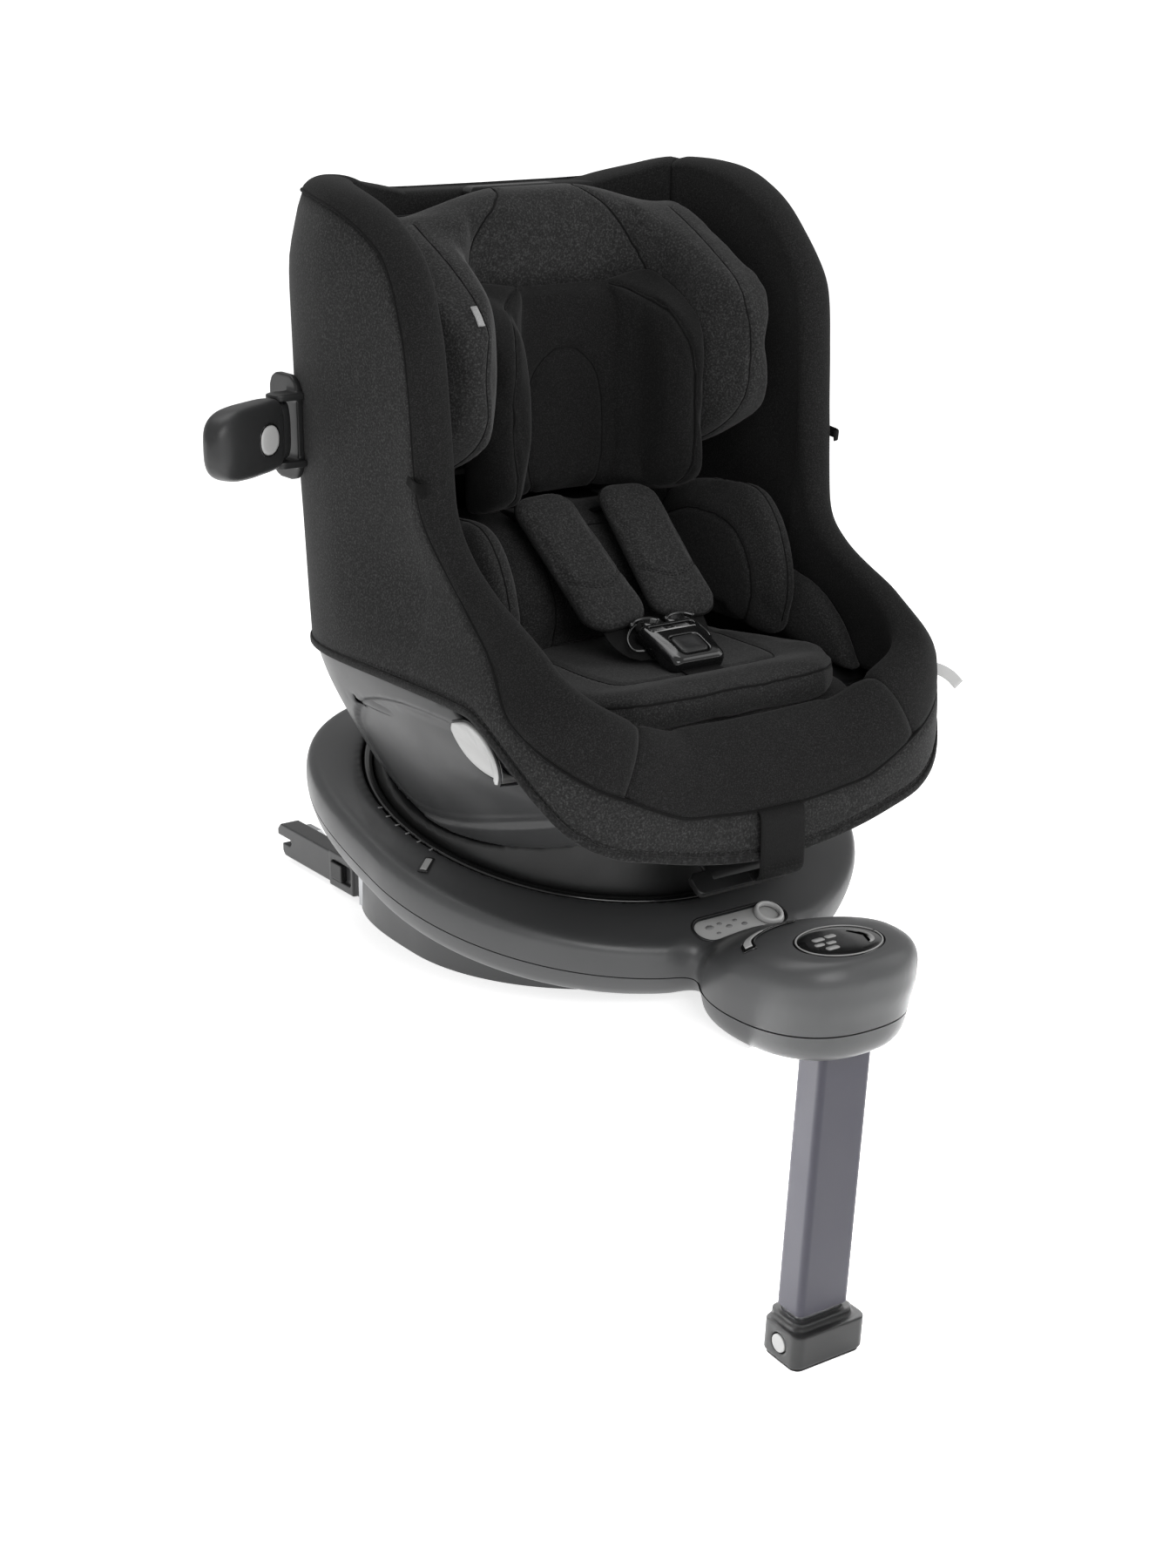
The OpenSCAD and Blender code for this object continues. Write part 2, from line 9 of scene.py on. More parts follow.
import bmesh
import bpy
import numpy as np
from mathutils import Matrix, Vector
from mathutils.bvhtree import BVHTree
from mathutils.kdtree import KDTree


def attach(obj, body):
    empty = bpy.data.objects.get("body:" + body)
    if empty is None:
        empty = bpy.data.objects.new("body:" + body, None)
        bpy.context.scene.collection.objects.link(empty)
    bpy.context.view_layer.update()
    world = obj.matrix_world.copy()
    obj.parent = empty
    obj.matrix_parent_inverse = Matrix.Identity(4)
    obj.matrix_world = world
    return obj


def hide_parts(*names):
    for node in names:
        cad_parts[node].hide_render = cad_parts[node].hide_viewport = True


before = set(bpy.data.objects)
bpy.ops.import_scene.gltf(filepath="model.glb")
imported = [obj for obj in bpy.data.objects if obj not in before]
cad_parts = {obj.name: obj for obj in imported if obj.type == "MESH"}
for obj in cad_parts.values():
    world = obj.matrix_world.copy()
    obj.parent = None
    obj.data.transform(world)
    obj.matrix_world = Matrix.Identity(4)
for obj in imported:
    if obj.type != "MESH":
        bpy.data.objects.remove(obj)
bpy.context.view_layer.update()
MM = 0.001
RIGHT, LEFT = -1, 1

# The tilted frame that the base rim, the turntable and the seat bowl share
TILT = math.radians(15)
RING_Z = 133.0
RING_Y = -RING_Z * math.tan(TILT)
DRUM_V, DRUM_W, DRUM_R = -10.0, 300.0, 292.0
SEAM_SPLIT_Y = -274.0
SEAM_SPLIT_Z = 26.0


# ---------------------------------------------------------------- numbers and curves


def ring(u, v, w):
    """Row-frame points for places in the tilted ring frame."""
    u, v, w = np.broadcast_arrays(*(np.asarray(a, float) for a in (u, v, w)))
    return np.stack([u, RING_Y + v * math.cos(TILT) - w * math.sin(TILT),
                     RING_Z + v * math.sin(TILT) + w * math.cos(TILT)], -1)


def power(value, exponent):
    return np.sign(value) * np.abs(value) ** exponent


def oval(half, front, rear, centre, front_n, rear_n, steps=192):
    """A superellipse outline whose front and rear halves differ, as (x, y) points."""
    a = np.arange(steps) * 2 * math.pi / steps
    c, s = np.cos(a), np.sin(a)
    n = np.where(s < 0, front_n, rear_n)
    reach = np.where(s < 0, front, rear)
    return np.stack([half * power(c, 2 / n), centre + reach * power(s, 2 / n)], -1)


def rim_outline(inset, steps=192):
    return oval(232 - inset, 230 - inset, 243 - inset, -28, 2, 3, steps)


def curve(points, count, closed=False):
    """A Catmull-Rom curve through the points, with evenly spaced samples."""
    p = np.asarray(points, float)
    p = np.vstack([p[-1], p, p[:2]]) if closed else np.vstack([2 * p[0] - p[1], p, 2 * p[-1] - p[-2]])
    t = np.linspace(0, 1, 24, endpoint=False)[:, None]
    fine = np.vstack([0.5 * (2 * b + (c - a) * t + (2 * a - 5 * b + 4 * c - d) * t**2
                             + (3 * b - a - 3 * c + d) * t**3)
                      for a, b, c, d in zip(p, p[1:], p[2:], p[3:])] + [p[-2][None]])
    return resample(fine, count)


def resample(line, count):
    """Evenly spaced points along a line."""
    step = np.linalg.norm(np.diff(line, axis=0), axis=1)
    along = np.concatenate([[0], np.cumsum(step)])
    at = np.linspace(0, along[-1], count)
    return np.stack([np.interp(at, along, line[:, k]) for k in range(line.shape[1])], -1)


def length_of(line):
    return float(np.linalg.norm(np.diff(line, axis=0), axis=1).sum())


def smoothstep(value):
    t = np.clip(value, 0, 1)
    return t * t * (3 - 2 * t)


def unit(v):
    return v / np.maximum(np.linalg.norm(v, axis=-1, keepdims=True), 1e-9)


def mirrored(points):
    return np.asarray(points, float) * [-1, 1, 1]


def turned(points, degrees, axis="X"):
    return np.asarray(points, float) @ np.array(Matrix.Rotation(math.radians(degrees), 3, axis)).T


# ---------------------------------------------------------------- meshes


def mesh_piece(name, points, faces, smooth=True):
    """An object from points in millimetres; its faces are turned outwards."""
    mesh = bpy.data.meshes.new(name)
    mesh.from_pydata((np.asarray(points, float) * MM).tolist(), [], [list(map(int, f)) for f in faces])
    bm = bmesh.new()
    bm.from_mesh(mesh)
    bmesh.ops.remove_doubles(bm, verts=bm.verts, dist=1e-6)
    bmesh.ops.dissolve_degenerate(bm, edges=bm.edges, dist=1e-7)
    bmesh.ops.recalc_face_normals(bm, faces=bm.faces)
    bm.to_mesh(mesh)
    bm.free()
    mesh.polygons.foreach_set("use_smooth", [smooth] * len(mesh.polygons))
    obj = bpy.data.objects.new(name, mesh)
    bpy.context.scene.collection.objects.link(obj)
    return obj


def grid_faces(rows, cols, wrap=False):
    last = cols if wrap else cols - 1
    return [(r * cols + c, r * cols + (c + 1) % cols, (r + 1) * cols + (c + 1) % cols, (r + 1) * cols + c)
            for r in range(rows - 1) for c in range(last)]


def grid(name, rows, wrap=False):
    rows = np.asarray(rows, float)
    return mesh_piece(name, rows.reshape(-1, 3), grid_faces(*rows.shape[:2], wrap))


def loft(name, rings):
    """A closed solid through rings of equal length, capped by fans."""
    rings = np.asarray(rings, float)
    count, n = rings.shape[:2]
    points = np.vstack([rings.reshape(-1, 3), rings[0].mean(0), rings[-1].mean(0)])
    faces = grid_faces(count, n, True)
    faces += [(count * n, (k + 1) % n, k) for k in range(n)]
    faces += [(count * n + 1, (count - 1) * n + k, (count - 1) * n + (k + 1) % n) for k in range(n)]
    return mesh_piece(name, points, faces)


def frames_along(path, up):
    """Tangent, side and normal at each point of a path; up is one vector or one for each point."""
    tangent = unit(np.gradient(path, axis=0))
    up = np.broadcast_to(np.asarray(up, float), path.shape)
    side = unit(np.cross(tangent, up))
    return tangent, side, np.cross(side, tangent)


def sweep(name, path, section, up=(0, 0, 1), taper=None):
    """A closed bar that carries a section of (side, normal) points along a path."""
    path = np.asarray(path, float)
    _, side, normal = frames_along(path, up)
    section = np.asarray(section, float)
    scale = np.ones(len(path)) if taper is None else taper
    return loft(name, path[:, None] + (side[:, None] * section[None, :, :1]
                                       + normal[:, None] * section[None, :, 1:]) * scale[:, None, None])


def round_section(rx, ry, sides=10, n=2.0):
    a = np.arange(sides) * 2 * math.pi / sides
    return np.stack([rx * power(np.cos(a), 2 / n), ry * power(np.sin(a), 2 / n)], -1)


def joined(name, objs):
    """One object from several, with their materials dropped."""
    points, faces, start = [], [], 0
    for o in objs:
        co = np.array([v.co for v in o.data.vertices], float).reshape(-1, 3) / MM
        points.append(co)
        faces += [tuple(start + i for i in p.vertices) for p in o.data.polygons]
        start += len(co)
        bpy.data.objects.remove(o)
    return mesh_piece(name, np.vstack(points), faces)


def cad_copy(name, *nodes):
    """A new mesh with the faces of some CAD nodes."""
    bm = bmesh.new()
    for node in nodes:
        bm.from_mesh(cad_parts[node].data)
    bmesh.ops.remove_doubles(bm, verts=bm.verts, dist=1e-5)
    mesh = bpy.data.meshes.new(name)
    bm.to_mesh(mesh)
    bm.free()
    obj = bpy.data.objects.new(name, mesh)
    bpy.context.scene.collection.objects.link(obj)
    return obj


def apply_modifiers(obj):
    bpy.context.view_layer.update()
    mesh = bpy.data.meshes.new_from_object(obj.evaluated_get(bpy.context.evaluated_depsgraph_get()))
    old = obj.data
    obj.modifiers.clear()
    obj.data = mesh
    bpy.data.meshes.remove(old)
    obj.data.polygons.foreach_set("use_smooth", [True] * len(obj.data.polygons))
    return obj


def remesh(obj, voxel, smooth=4, factor=0.5):
    """Voxel remesh, then a few smoothing passes that round what was sharp."""
    m = obj.modifiers.new("Remesh", "REMESH")
    m.mode = "VOXEL"
    m.voxel_size = voxel * MM
    if smooth:
        s = obj.modifiers.new("Smooth", "SMOOTH")
        s.iterations = smooth
        s.factor = factor
    return apply_modifiers(obj)


def boolean(obj, other, operation="DIFFERENCE"):
    m = obj.modifiers.new("Boolean", "BOOLEAN")
    m.operation, m.object, m.solver = operation, other, "MANIFOLD"
    apply_modifiers(obj)
    bpy.data.objects.remove(other)
    return obj


def coords(obj):
    co = np.empty(len(obj.data.vertices) * 3)
    obj.data.vertices.foreach_get("co", co)
    return co.reshape(-1, 3) / MM


def normals(obj):
    n = np.empty(len(obj.data.vertices) * 3)
    obj.data.vertices.foreach_get("normal", n)
    return n.reshape(-1, 3)


def set_coords(obj, points):
    obj.data.vertices.foreach_set("co", (np.asarray(points) * MM).ravel())
    obj.data.update()


def relax(obj, weight, passes):
    """Laplacian smoothing whose strength at each point is weight, 0 to 1."""
    edges = np.empty(len(obj.data.edges) * 2, int)
    obj.data.edges.foreach_get("vertices", edges)
    a, b = edges.reshape(-1, 2).T
    p = coords(obj)
    count = np.bincount(a, minlength=len(p)) + np.bincount(b, minlength=len(p))
    for _ in range(passes):
        total = np.stack([np.bincount(a, p[b, k], len(p)) + np.bincount(b, p[a, k], len(p))
                          for k in range(3)], -1)
        p = p + (total / count[:, None] - p) * (0.5 * weight)[:, None]
    set_coords(obj, p)


def search_tree(obj):
    return BVHTree.FromObject(obj, bpy.context.evaluated_depsgraph_get())


def surface_distance(points, obj):
    tree = search_tree(obj)
    return np.array([tree.find_nearest(Vector(p * MM))[3] for p in points]) / MM


def nearest_on(obj, points):
    """The surface point nearest to each of some points."""
    tree = search_tree(obj)
    return np.array([list(tree.find_nearest(Vector(p * MM))[0]) for p in np.asarray(points, float)]) / MM


def subdivide(obj, levels=1):
    m = obj.modifiers.new("Subdivision", "SUBSURF")
    m.levels = m.render_levels = levels
    return apply_modifiers(obj)


def inflate(obj, pressure=4.0, cap=8.0, frames=20):
    """Blows a closed fabric shell up with the cloth simulation; no point moves further than cap."""
    rest = coords(obj)
    cloth = obj.modifiers.new("Cloth", "CLOTH")
    s = cloth.settings
    s.quality = 5
    s.use_pressure = True
    s.uniform_pressure_force = pressure
    s.effector_weights.gravity = 0
    s.tension_stiffness = s.compression_stiffness = 12
    s.bending_stiffness = 0.4
    scene = bpy.context.scene
    cloth.point_cache.frame_start, cloth.point_cache.frame_end = 1, frames
    for f in range(1, frames + 1):
        scene.frame_set(f)
    apply_modifiers(obj)
    scene.frame_set(1)
    move = coords(obj) - rest
    size = np.linalg.norm(move, axis=1)
    set_coords(obj, rest + move * np.minimum(1, cap / np.maximum(size, 1e-6))[:, None])
    return obj


def soft(name, nodes, voxel=5.0, shrink=2.0, pressure=4.0, cap=7.0, smooth=6, **limits):
    """A stuffed piece that starts from CAD soft solids: remeshed, drawn in, blown up and subdivided."""
    obj = remesh(cad_copy(name, *nodes), voxel, smooth)
    set_coords(obj, coords(obj) - normals(obj) * shrink)
    inflate(obj, pressure, cap)
    relax(obj, np.ones(len(obj.data.vertices)), 2)
    return subdivide(obj)


def groove(obj, path, depth=2.2, width=3.0):
    """Draws the surface in along a path, as a sewn seam does. Returns the path laid on the surface."""
    laid = nearest_on(obj, path)
    dense = resample(laid, max(8, int(length_of(laid) / 1.5)))
    kd = KDTree(len(dense))
    for i, p in enumerate(dense):
        kd.insert(Vector(p), i)
    kd.balance()
    p, n = coords(obj), normals(obj)
    low, high = dense.min(0) - 4 * width, dense.max(0) + 4 * width
    near = np.where(((p > low) & (p < high)).all(1))[0]
    for i in near:
        d = kd.find(Vector(p[i]))[2]
        if d < 3.2 * width:
            p[i] -= n[i] * depth * math.exp(-((d / width) ** 2))
    set_coords(obj, p)
    return dense


def tube(name, path, radius=1.3, sides=8, up=(0.3, 0.2, 1)):
    count = max(4, int(length_of(path) / (1.2 * max(radius, 1.5))))
    return sweep(name, resample(path, count), round_section(radius, radius, sides), up)


def stitches(name, path, length=3.2, gap=1.8, radius=0.45, up=(0.3, 0.2, 1)):
    """A row of thread stitches along a path."""
    total = length_of(path)
    count = max(2, int(total / (length + gap)))
    dense = resample(path, count * 10 + 1)
    bars = []
    for k in range(count):
        part = dense[k * 10:k * 10 + 7]
        bars.append(sweep(f"{name}_{k}", part[::2], round_section(radius, radius * 0.8, 5), up,
                          np.array([0.5, 1, 1, 0.5])))
    return joined(name, bars)


def wear_in(obj, amount=0.8, scale=0.02, seed=0.0):
    """Small, slow undulations, so that no sewn or moulded surface is perfectly even."""
    p, n = coords(obj), normals(obj)
    q = p * scale + seed
    wave = (np.sin(q[:, 0] * 2.1 + 1.3 * np.sin(q[:, 1] * 1.7)) + np.sin(q[:, 1] * 2.9 + q[:, 2] * 1.1)
            + np.sin(q[:, 2] * 2.3 + 1.9 * np.sin(q[:, 0] * 1.3)))
    set_coords(obj, p + n * (wave * amount / 3)[:, None])
    return obj


def dress(obj, material, body, slot, *replaced, fill=None):
    """Gives a piece its material and its CAD body, and hides the CAD nodes it stands for; slot is not used.
    """
    obj.data.materials.clear()
    obj.data.materials.append(MATERIALS[material])
    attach(obj, body)
    if replaced:
        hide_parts(*replaced)
    return obj


# ---------------------------------------------------------------- materials


def grey(value, tint=(1.0, 1.0, 1.0)):
    return (value * tint[0], value * tint[1], value * tint[2], 1.0)


class Nodes:
    """Short names for the few shader nodes that the materials use."""

    def __init__(self, name):
        self.mat = bpy.data.materials.new(name)
        self.mat.use_nodes = True
        self.tree = self.mat.node_tree
        self.shader = self.tree.nodes["Principled BSDF"]
        self.place = self.tree.nodes.new("ShaderNodeTexCoord").outputs["Object"]

    def link(self, a, b):
        self.tree.links.new(a, b)

    def noise(self, scale, detail=2.0, rough=0.5, stretch=None):
        n = self.tree.nodes.new("ShaderNodeTexNoise")
        n.inputs["Scale"].default_value = scale
        n.inputs["Detail"].default_value = detail
        n.inputs["Roughness"].default_value = rough
        source = self.place
        if stretch:
            m = self.tree.nodes.new("ShaderNodeMapping")
            m.inputs["Scale"].default_value = stretch
            self.link(self.place, m.inputs["Vector"])
            source = m.outputs["Vector"]
        self.link(source, n.inputs["Vector"])
        return n.outputs["Fac"]

    def wave(self, scale, direction="X", distortion=0.5):
        n = self.tree.nodes.new("ShaderNodeTexWave")
        n.bands_direction = direction
        n.inputs["Scale"].default_value = scale
        n.inputs["Distortion"].default_value = distortion
        self.link(self.place, n.inputs["Vector"])
        return n.outputs["Fac"]

    def ramp(self, factor, *stops):
        n = self.tree.nodes.new("ShaderNodeValToRGB")
        e = n.color_ramp.elements
        e[0].position, e[0].color = stops[0]
        e[1].position, e[1].color = stops[-1]
        for position, colour in stops[1:-1]:
            e.new(position).color = colour
        self.link(factor, n.inputs["Fac"])
        return n.outputs["Color"]

    def mix(self, kind, factor, a, b):
        n = self.tree.nodes.new("ShaderNodeMix")
        n.data_type, n.blend_type = "RGBA", kind
        n.inputs[0].default_value = factor
        self.link(a, n.inputs[6])
        self.link(b, n.inputs[7])
        return n.outputs[2]

    def spread(self, factor, low, high):
        n = self.tree.nodes.new("ShaderNodeMapRange")
        n.inputs["To Min"].default_value, n.inputs["To Max"].default_value = low, high
        n.inputs["From Min"].default_value, n.inputs["From Max"].default_value = 0.3, 0.7
        self.link(factor, n.inputs["Value"])
        return n.outputs["Result"]

    def bump(self, height, strength, distance, under=None):
        n = self.tree.nodes.new("ShaderNodeBump")
        n.inputs["Strength"].default_value = strength
        n.inputs["Distance"].default_value = distance * MM
        self.link(height, n.inputs["Height"])
        if under:
            self.link(under, n.inputs["Normal"])
        return n.outputs["Normal"]


def fabric(name, tone, contrast, sheen, grain=520.0, tint=(1.0, 1.0, 1.0), rough=0.9):
    """Knitted or woven cloth: a melange of light and dark yarn, slow shade changes, fuzz and a woven bump."""
    n = Nodes(name)
    yarn = n.noise(grain, 3.0, 0.62)
    cloud = n.noise(14.0, 3.0)
    melange = n.ramp(yarn, (0.30, grey(tone * (1 - contrast), tint)), (0.5, grey(tone, tint)),
                     (0.70, grey(tone * (1 + 3.4 * contrast), tint)))
    shade = n.ramp(cloud, (0.25, grey(0.86)), (0.75, grey(1.0)))
    n.link(n.mix("MULTIPLY", 1.0, melange, shade), n.shader.inputs["Base Color"])
    n.link(n.spread(yarn, rough - 0.08, min(1.0, rough + 0.08)), n.shader.inputs["Roughness"])
    under = n.bump(cloud, 0.10, 4.0)
    n.link(n.bump(yarn, 0.55, 0.45, under), n.shader.inputs["Normal"])
    n.shader.inputs["Sheen Weight"].default_value = sheen
    n.shader.inputs["Sheen Roughness"].default_value = 0.45
    n.shader.inputs["Specular IOR Level"].default_value = 0.10
    return n.mat


def plastic(name, tone, rough, tint=(1.0, 1.0, 1.0), grain=0.25, coat=0.0, level=0.45, metallic=0.0,
            masked=None):
    """Moulded plastic or paint: fine spark-eroded grain, uneven gloss and slightly paler convex edges, a
    painted highlight.
    """
    n = Nodes(name)
    fine = n.noise(1500.0, 2.0)
    slow = n.noise(22.0, 4.0)
    base = n.ramp(slow, (0.3, grey(tone * 0.93, tint)), (0.7, grey(tone * 1.05, tint)))
    geometry = n.tree.nodes.new("ShaderNodeNewGeometry")
    if masked is not None:
        mask = n.tree.nodes.new("ShaderNodeAttribute")
        mask.attribute_name = "dark_mask"
        mixer = n.tree.nodes.new("ShaderNodeMix")
        mixer.data_type = "RGBA"
        mixer.inputs[7].default_value = grey(masked, tint)
        n.link(mask.outputs["Fac"], mixer.inputs[0])
        n.link(base, mixer.inputs[6])
        base = mixer.outputs[2]
    # Painted highlight: convex edges made paler through Pointiness, standing in for edges that catch the
    # light.
    edge_highlight = n.ramp(geometry.outputs["Pointiness"], (0.50, grey(1.0)), (0.62, grey(1.16)))
    n.link(n.mix("MULTIPLY", 1.0, base, edge_highlight), n.shader.inputs["Base Color"])
    n.link(n.spread(slow, rough - 0.05, rough + 0.06), n.shader.inputs["Roughness"])
    n.link(n.bump(fine, grain, 0.12), n.shader.inputs["Normal"])
    n.shader.inputs["Coat Weight"].default_value = coat
    n.shader.inputs["Coat Roughness"].default_value = 0.12
    n.shader.inputs["Specular IOR Level"].default_value = level
    n.shader.inputs["Metallic"].default_value = metallic
    return n.mat


def strap_weave(name, tone):
    """Polyester webbing: fine ribs along the strap crossed by yarns, with a soft shine."""
    n = Nodes(name)
    ribs = n.wave(480.0, "X", 0.4)
    yarn = n.noise(1400.0, 2.0, 0.5, (1.0, 0.35, 0.35))
    base = n.ramp(ribs, (0.2, grey(tone * 0.6)), (0.8, grey(tone * 1.5)))
    fleck = n.ramp(yarn, (0.3, grey(0.75)), (0.7, grey(1.0)))
    n.link(n.mix("MULTIPLY", 1.0, base, fleck), n.shader.inputs["Base Color"])
    n.link(n.spread(yarn, 0.55, 0.75), n.shader.inputs["Roughness"])
    n.link(n.bump(ribs, 0.5, 0.35, n.bump(yarn, 0.3, 0.2)), n.shader.inputs["Normal"])
    n.shader.inputs["Specular IOR Level"].default_value = 0.15
    return n.mat


COOL = (0.985, 1.0, 1.02)
MATERIALS = {
    "melange": fabric("melange_fabric", 0.0205, 0.50, 0.11, 620.0),
    "melange_dark": fabric("melange_dark", 0.016, 0.5, 0.10),
    "black_cloth": fabric("black_fabric", 0.0120, 0.42, 0.04, 900.0),
    "insert_cloth": fabric("insert_fabric", 0.0190, 0.45, 0.09, 800.0),
    "head_cloth": fabric("head_fabric", 0.0085, 0.42, 0.06, 900.0),
    "piping": fabric("piping_fabric", 0.006, 0.3, 0.04, 1500.0),
    "thread": fabric("thread", 0.010, 0.3, 0.1, 2500.0),
    "label": fabric("label_tape", 0.30, 0.12, 0.1, 1200.0),
    "webbing": strap_weave("webbing", 0.0050),
    "base": plastic("base_plastic", 0.064, 0.36, COOL, 0.22, masked=0.046),
    "bowl": plastic("grey_plastic", 0.040, 0.36, COOL, 0.18),
    "dome": plastic("dome_plastic", 0.0085, 0.40, COOL, 0.20),
    "black": plastic("black_plastic", 0.012, 0.38, COOL, 0.25),
    "gloss": plastic("gloss_black", 0.006, 0.14, COOL, 0.05, 0.6),
    "light": plastic("light_plastic", 0.48, 0.38, (1.0, 1.0, 0.99), 0.08),
    "plate": plastic("plate_plastic", 0.40, 0.38, (1.0, 1.0, 0.99), 0.08),
    "pale": plastic("pale_plastic", 0.30, 0.34, (1.0, 1.0, 0.99), 0.08),
    "mark": plastic("mark_print", 0.20, 0.5),
    "leg": plastic("leg_paint", 0.020, 0.44, (0.96, 0.90, 1.55), 0.30, 0.15),
    # Pods: the black plastic made paler, so that its colour carries a painted highlight.
    "pod": plastic("pod_black_painted_highlight", 0.024, 0.42, COOL, 0.3),
    "arm": plastic("arm_plastic", 0.046, 0.36, COOL, 0.25),
    "steel": plastic("steel", 0.46, 0.34, COOL, 0.3, 0.0, 0.5, 1.0),
    "rubber": plastic("rubber", 0.014, 0.75, (1, 1, 1), 0.5, 0.0, 0.3),
}


# ---------------------------------------------------------------- base


def ring_level(outline, w):
    return ring(outline[:, 0], outline[:, 1], w)


def circle_outline(radius, steps=192):
    return oval(radius, radius, radius, 0, 2, 2, steps)


def housing(steps=128):
    """The bulbous housing over the leg's hinge."""
    rows = curve([(1, 62, 73, 93, -345), (5, 68, 78, 97, -345), (14, 72.5, 82, 99, -345),
                  (34, 76.5, 85.5, 98, -345), (50, 79, 87, 88, -347), (60, 79, 84.5, 77, -350),
                  (68, 77.5, 80, 66, -355), (75, 74, 72.5, 56, -361), (80, 69, 64, 48, -367),
                  (84, 61, 54, 41, -374), (86, 53, 45, 36, -380), (86.8, 45, 36, 34, -384)], 34)
    return loft("housing", [np.c_[oval(a, f, r, y, 2.4, 2, steps), np.full(steps, z)]
                            for z, a, f, r, y in rows])


def rim_body():
    """The oval base: undercut, rounded lower band, flank and deck, with the turntable's recess."""
    profile = [(66, -262), (50, -73.5), (36, -72.8), (26, -71.8), (19, -69.2), (13, -64.5), (8.5, -58),
               (5, -50), (2.2, -42), (0.8, -34), (0, -27), (0, -21), (0.9, -16.6), (3.2, -13.2), (7, -11),
               (12, -9.8)]
    rings = [ring_level(rim_outline(d), w) for d, w in profile]
    last = rim_outline(12)
    for t, w in ((0.35, -7.4), (0.7, -4.6), (1.0, -2.6)):
        rings.append(ring_level(last * (1 - t) + circle_outline(206) * t, w))
    for r, w in ((201.5, -2.2), (198.8, -3.6), (198, -6), (197.6, -12), (196, -13.2)):
        rings.append(ring_level(circle_outline(r), w))
    return loft("rim", rings)


def box_solid(name, low, high):
    x0, y0, z0 = low
    x1, y1, z1 = high
    outline = [(x0, y0), (x1, y0), (x1, y1), (x0, y1)]
    return loft(name, [[(x, y, z) for x, y in outline] for z in (z0, z1)])


def prism(name, outline, low, high, place=None):
    """A prism over a plan outline; place moves its points."""
    outline = np.asarray(outline, float)
    rings = np.array([np.c_[outline, np.full(len(outline), z)] for z in (low, high)])
    return loft(name, rings if place is None else [place(r) for r in rings])


def slot_place(points):
    """The mode slot's own frame: on the deck's front, tilted a little more than the ring."""
    p = turned(points, 8)
    return ring(p[:, 0], p[:, 1] - 235, p[:, 2] - 11)


def stadium(length, width, steps=40):
    a = np.linspace(0, 2 * math.pi, steps, endpoint=False)
    x, y = np.cos(a) * width / 2, np.sin(a) * width / 2
    return np.c_[x + np.sign(np.cos(a)) * (length - width) / 2, y]


def base_shell():
    """Rim and housing grown into one another, with the pockets cut, before the shells are parted."""
    body = remesh(joined("base_body", [rim_body(), housing()]), 2.6, 0)
    p = coords(body)
    near = (p[:, 1] < -180) & (p[:, 2] > 0)
    weight = np.zeros(len(p))
    to_rim, to_bulb = rim_body(), housing()
    gap = np.maximum(surface_distance(p[near], to_rim), surface_distance(p[near], to_bulb))
    bpy.data.objects.remove(to_rim)
    bpy.data.objects.remove(to_bulb)
    weight[near] = smoothstep(1.25 - gap / 24)
    relax(body, weight, 90)
    relax(body, np.full(len(p), 0.6), 4)
    boolean(body, box_solid("leg_pocket", (-41, -344, -20), (41, -58, 51)))
    boolean(body, box_solid("front_slot", (-29, -408, -20), (29, -338, 51)))
    for s in (RIGHT, LEFT):
        boolean(body, box_solid("passage", (s * 140 - 20, -62, 3), (s * 140 + 20, 300, 41)))
    boolean(body, prism("slot_cut", stadium(96, 30), 0.4, 30, slot_place))
    boolean(body, prism("panel_cut", oval(39.4, 32.4, 32.4, -386, 2, 2, 96), 82.2, 110))
    cut_plane(body, Vector((0, 0, 0)), Vector((0, 0, -1)), True)
    return body


def cut_plane(obj, point, away, fill, keep_lip=0.0):
    """Cuts off what lies beyond a plane, through a point in metres.

    fill closes the cut, and keep_lip leaves a lip of that width along it.
    """
    bm = bmesh.new()
    bm.from_mesh(obj.data)
    geometry = bm.verts[:] + bm.edges[:] + bm.faces[:]
    cut = bmesh.ops.bisect_plane(bm, geom=geometry, plane_co=point, plane_no=away, clear_outer=True)
    edges = [e for e in cut["geom_cut"] if isinstance(e, bmesh.types.BMEdge)]
    if fill:
        bmesh.ops.triangle_fill(bm, edges=edges, use_beauty=True)
    if keep_lip:
        centre = sum((v.co for e in edges for v in e.verts), Vector()) / (2 * len(edges))
        out = bmesh.ops.extrude_edge_only(bm, edges=edges)["geom"]
        for v in (g for g in out if isinstance(g, bmesh.types.BMVert)):
            inward = centre - v.co
            inward.z = 0
            v.co += inward.normalized() * keep_lip * MM
    bmesh.ops.recalc_face_normals(bm, faces=bm.faces)
    bm.to_mesh(obj.data)
    bm.free()
    obj.data.polygons.foreach_set("use_smooth", [True] * len(obj.data.polygons))


def sheared(obj, sign):
    """Levels the folded parting line between the base's shells, or folds it back."""
    p = coords(obj)
    p[:, 2] += sign * np.maximum(p[:, 1] - SEAM_SPLIT_Y, 0) * math.tan(TILT)
    set_coords(obj, p)


def shade_by_angle(obj, degrees=35):
    bm = bmesh.new()
    bm.from_mesh(obj.data)
    for e in bm.edges:
        e.smooth = len(e.link_faces) != 2 or e.calc_face_angle(0) < math.radians(degrees)
    bm.to_mesh(obj.data)
    bm.free()
    return obj


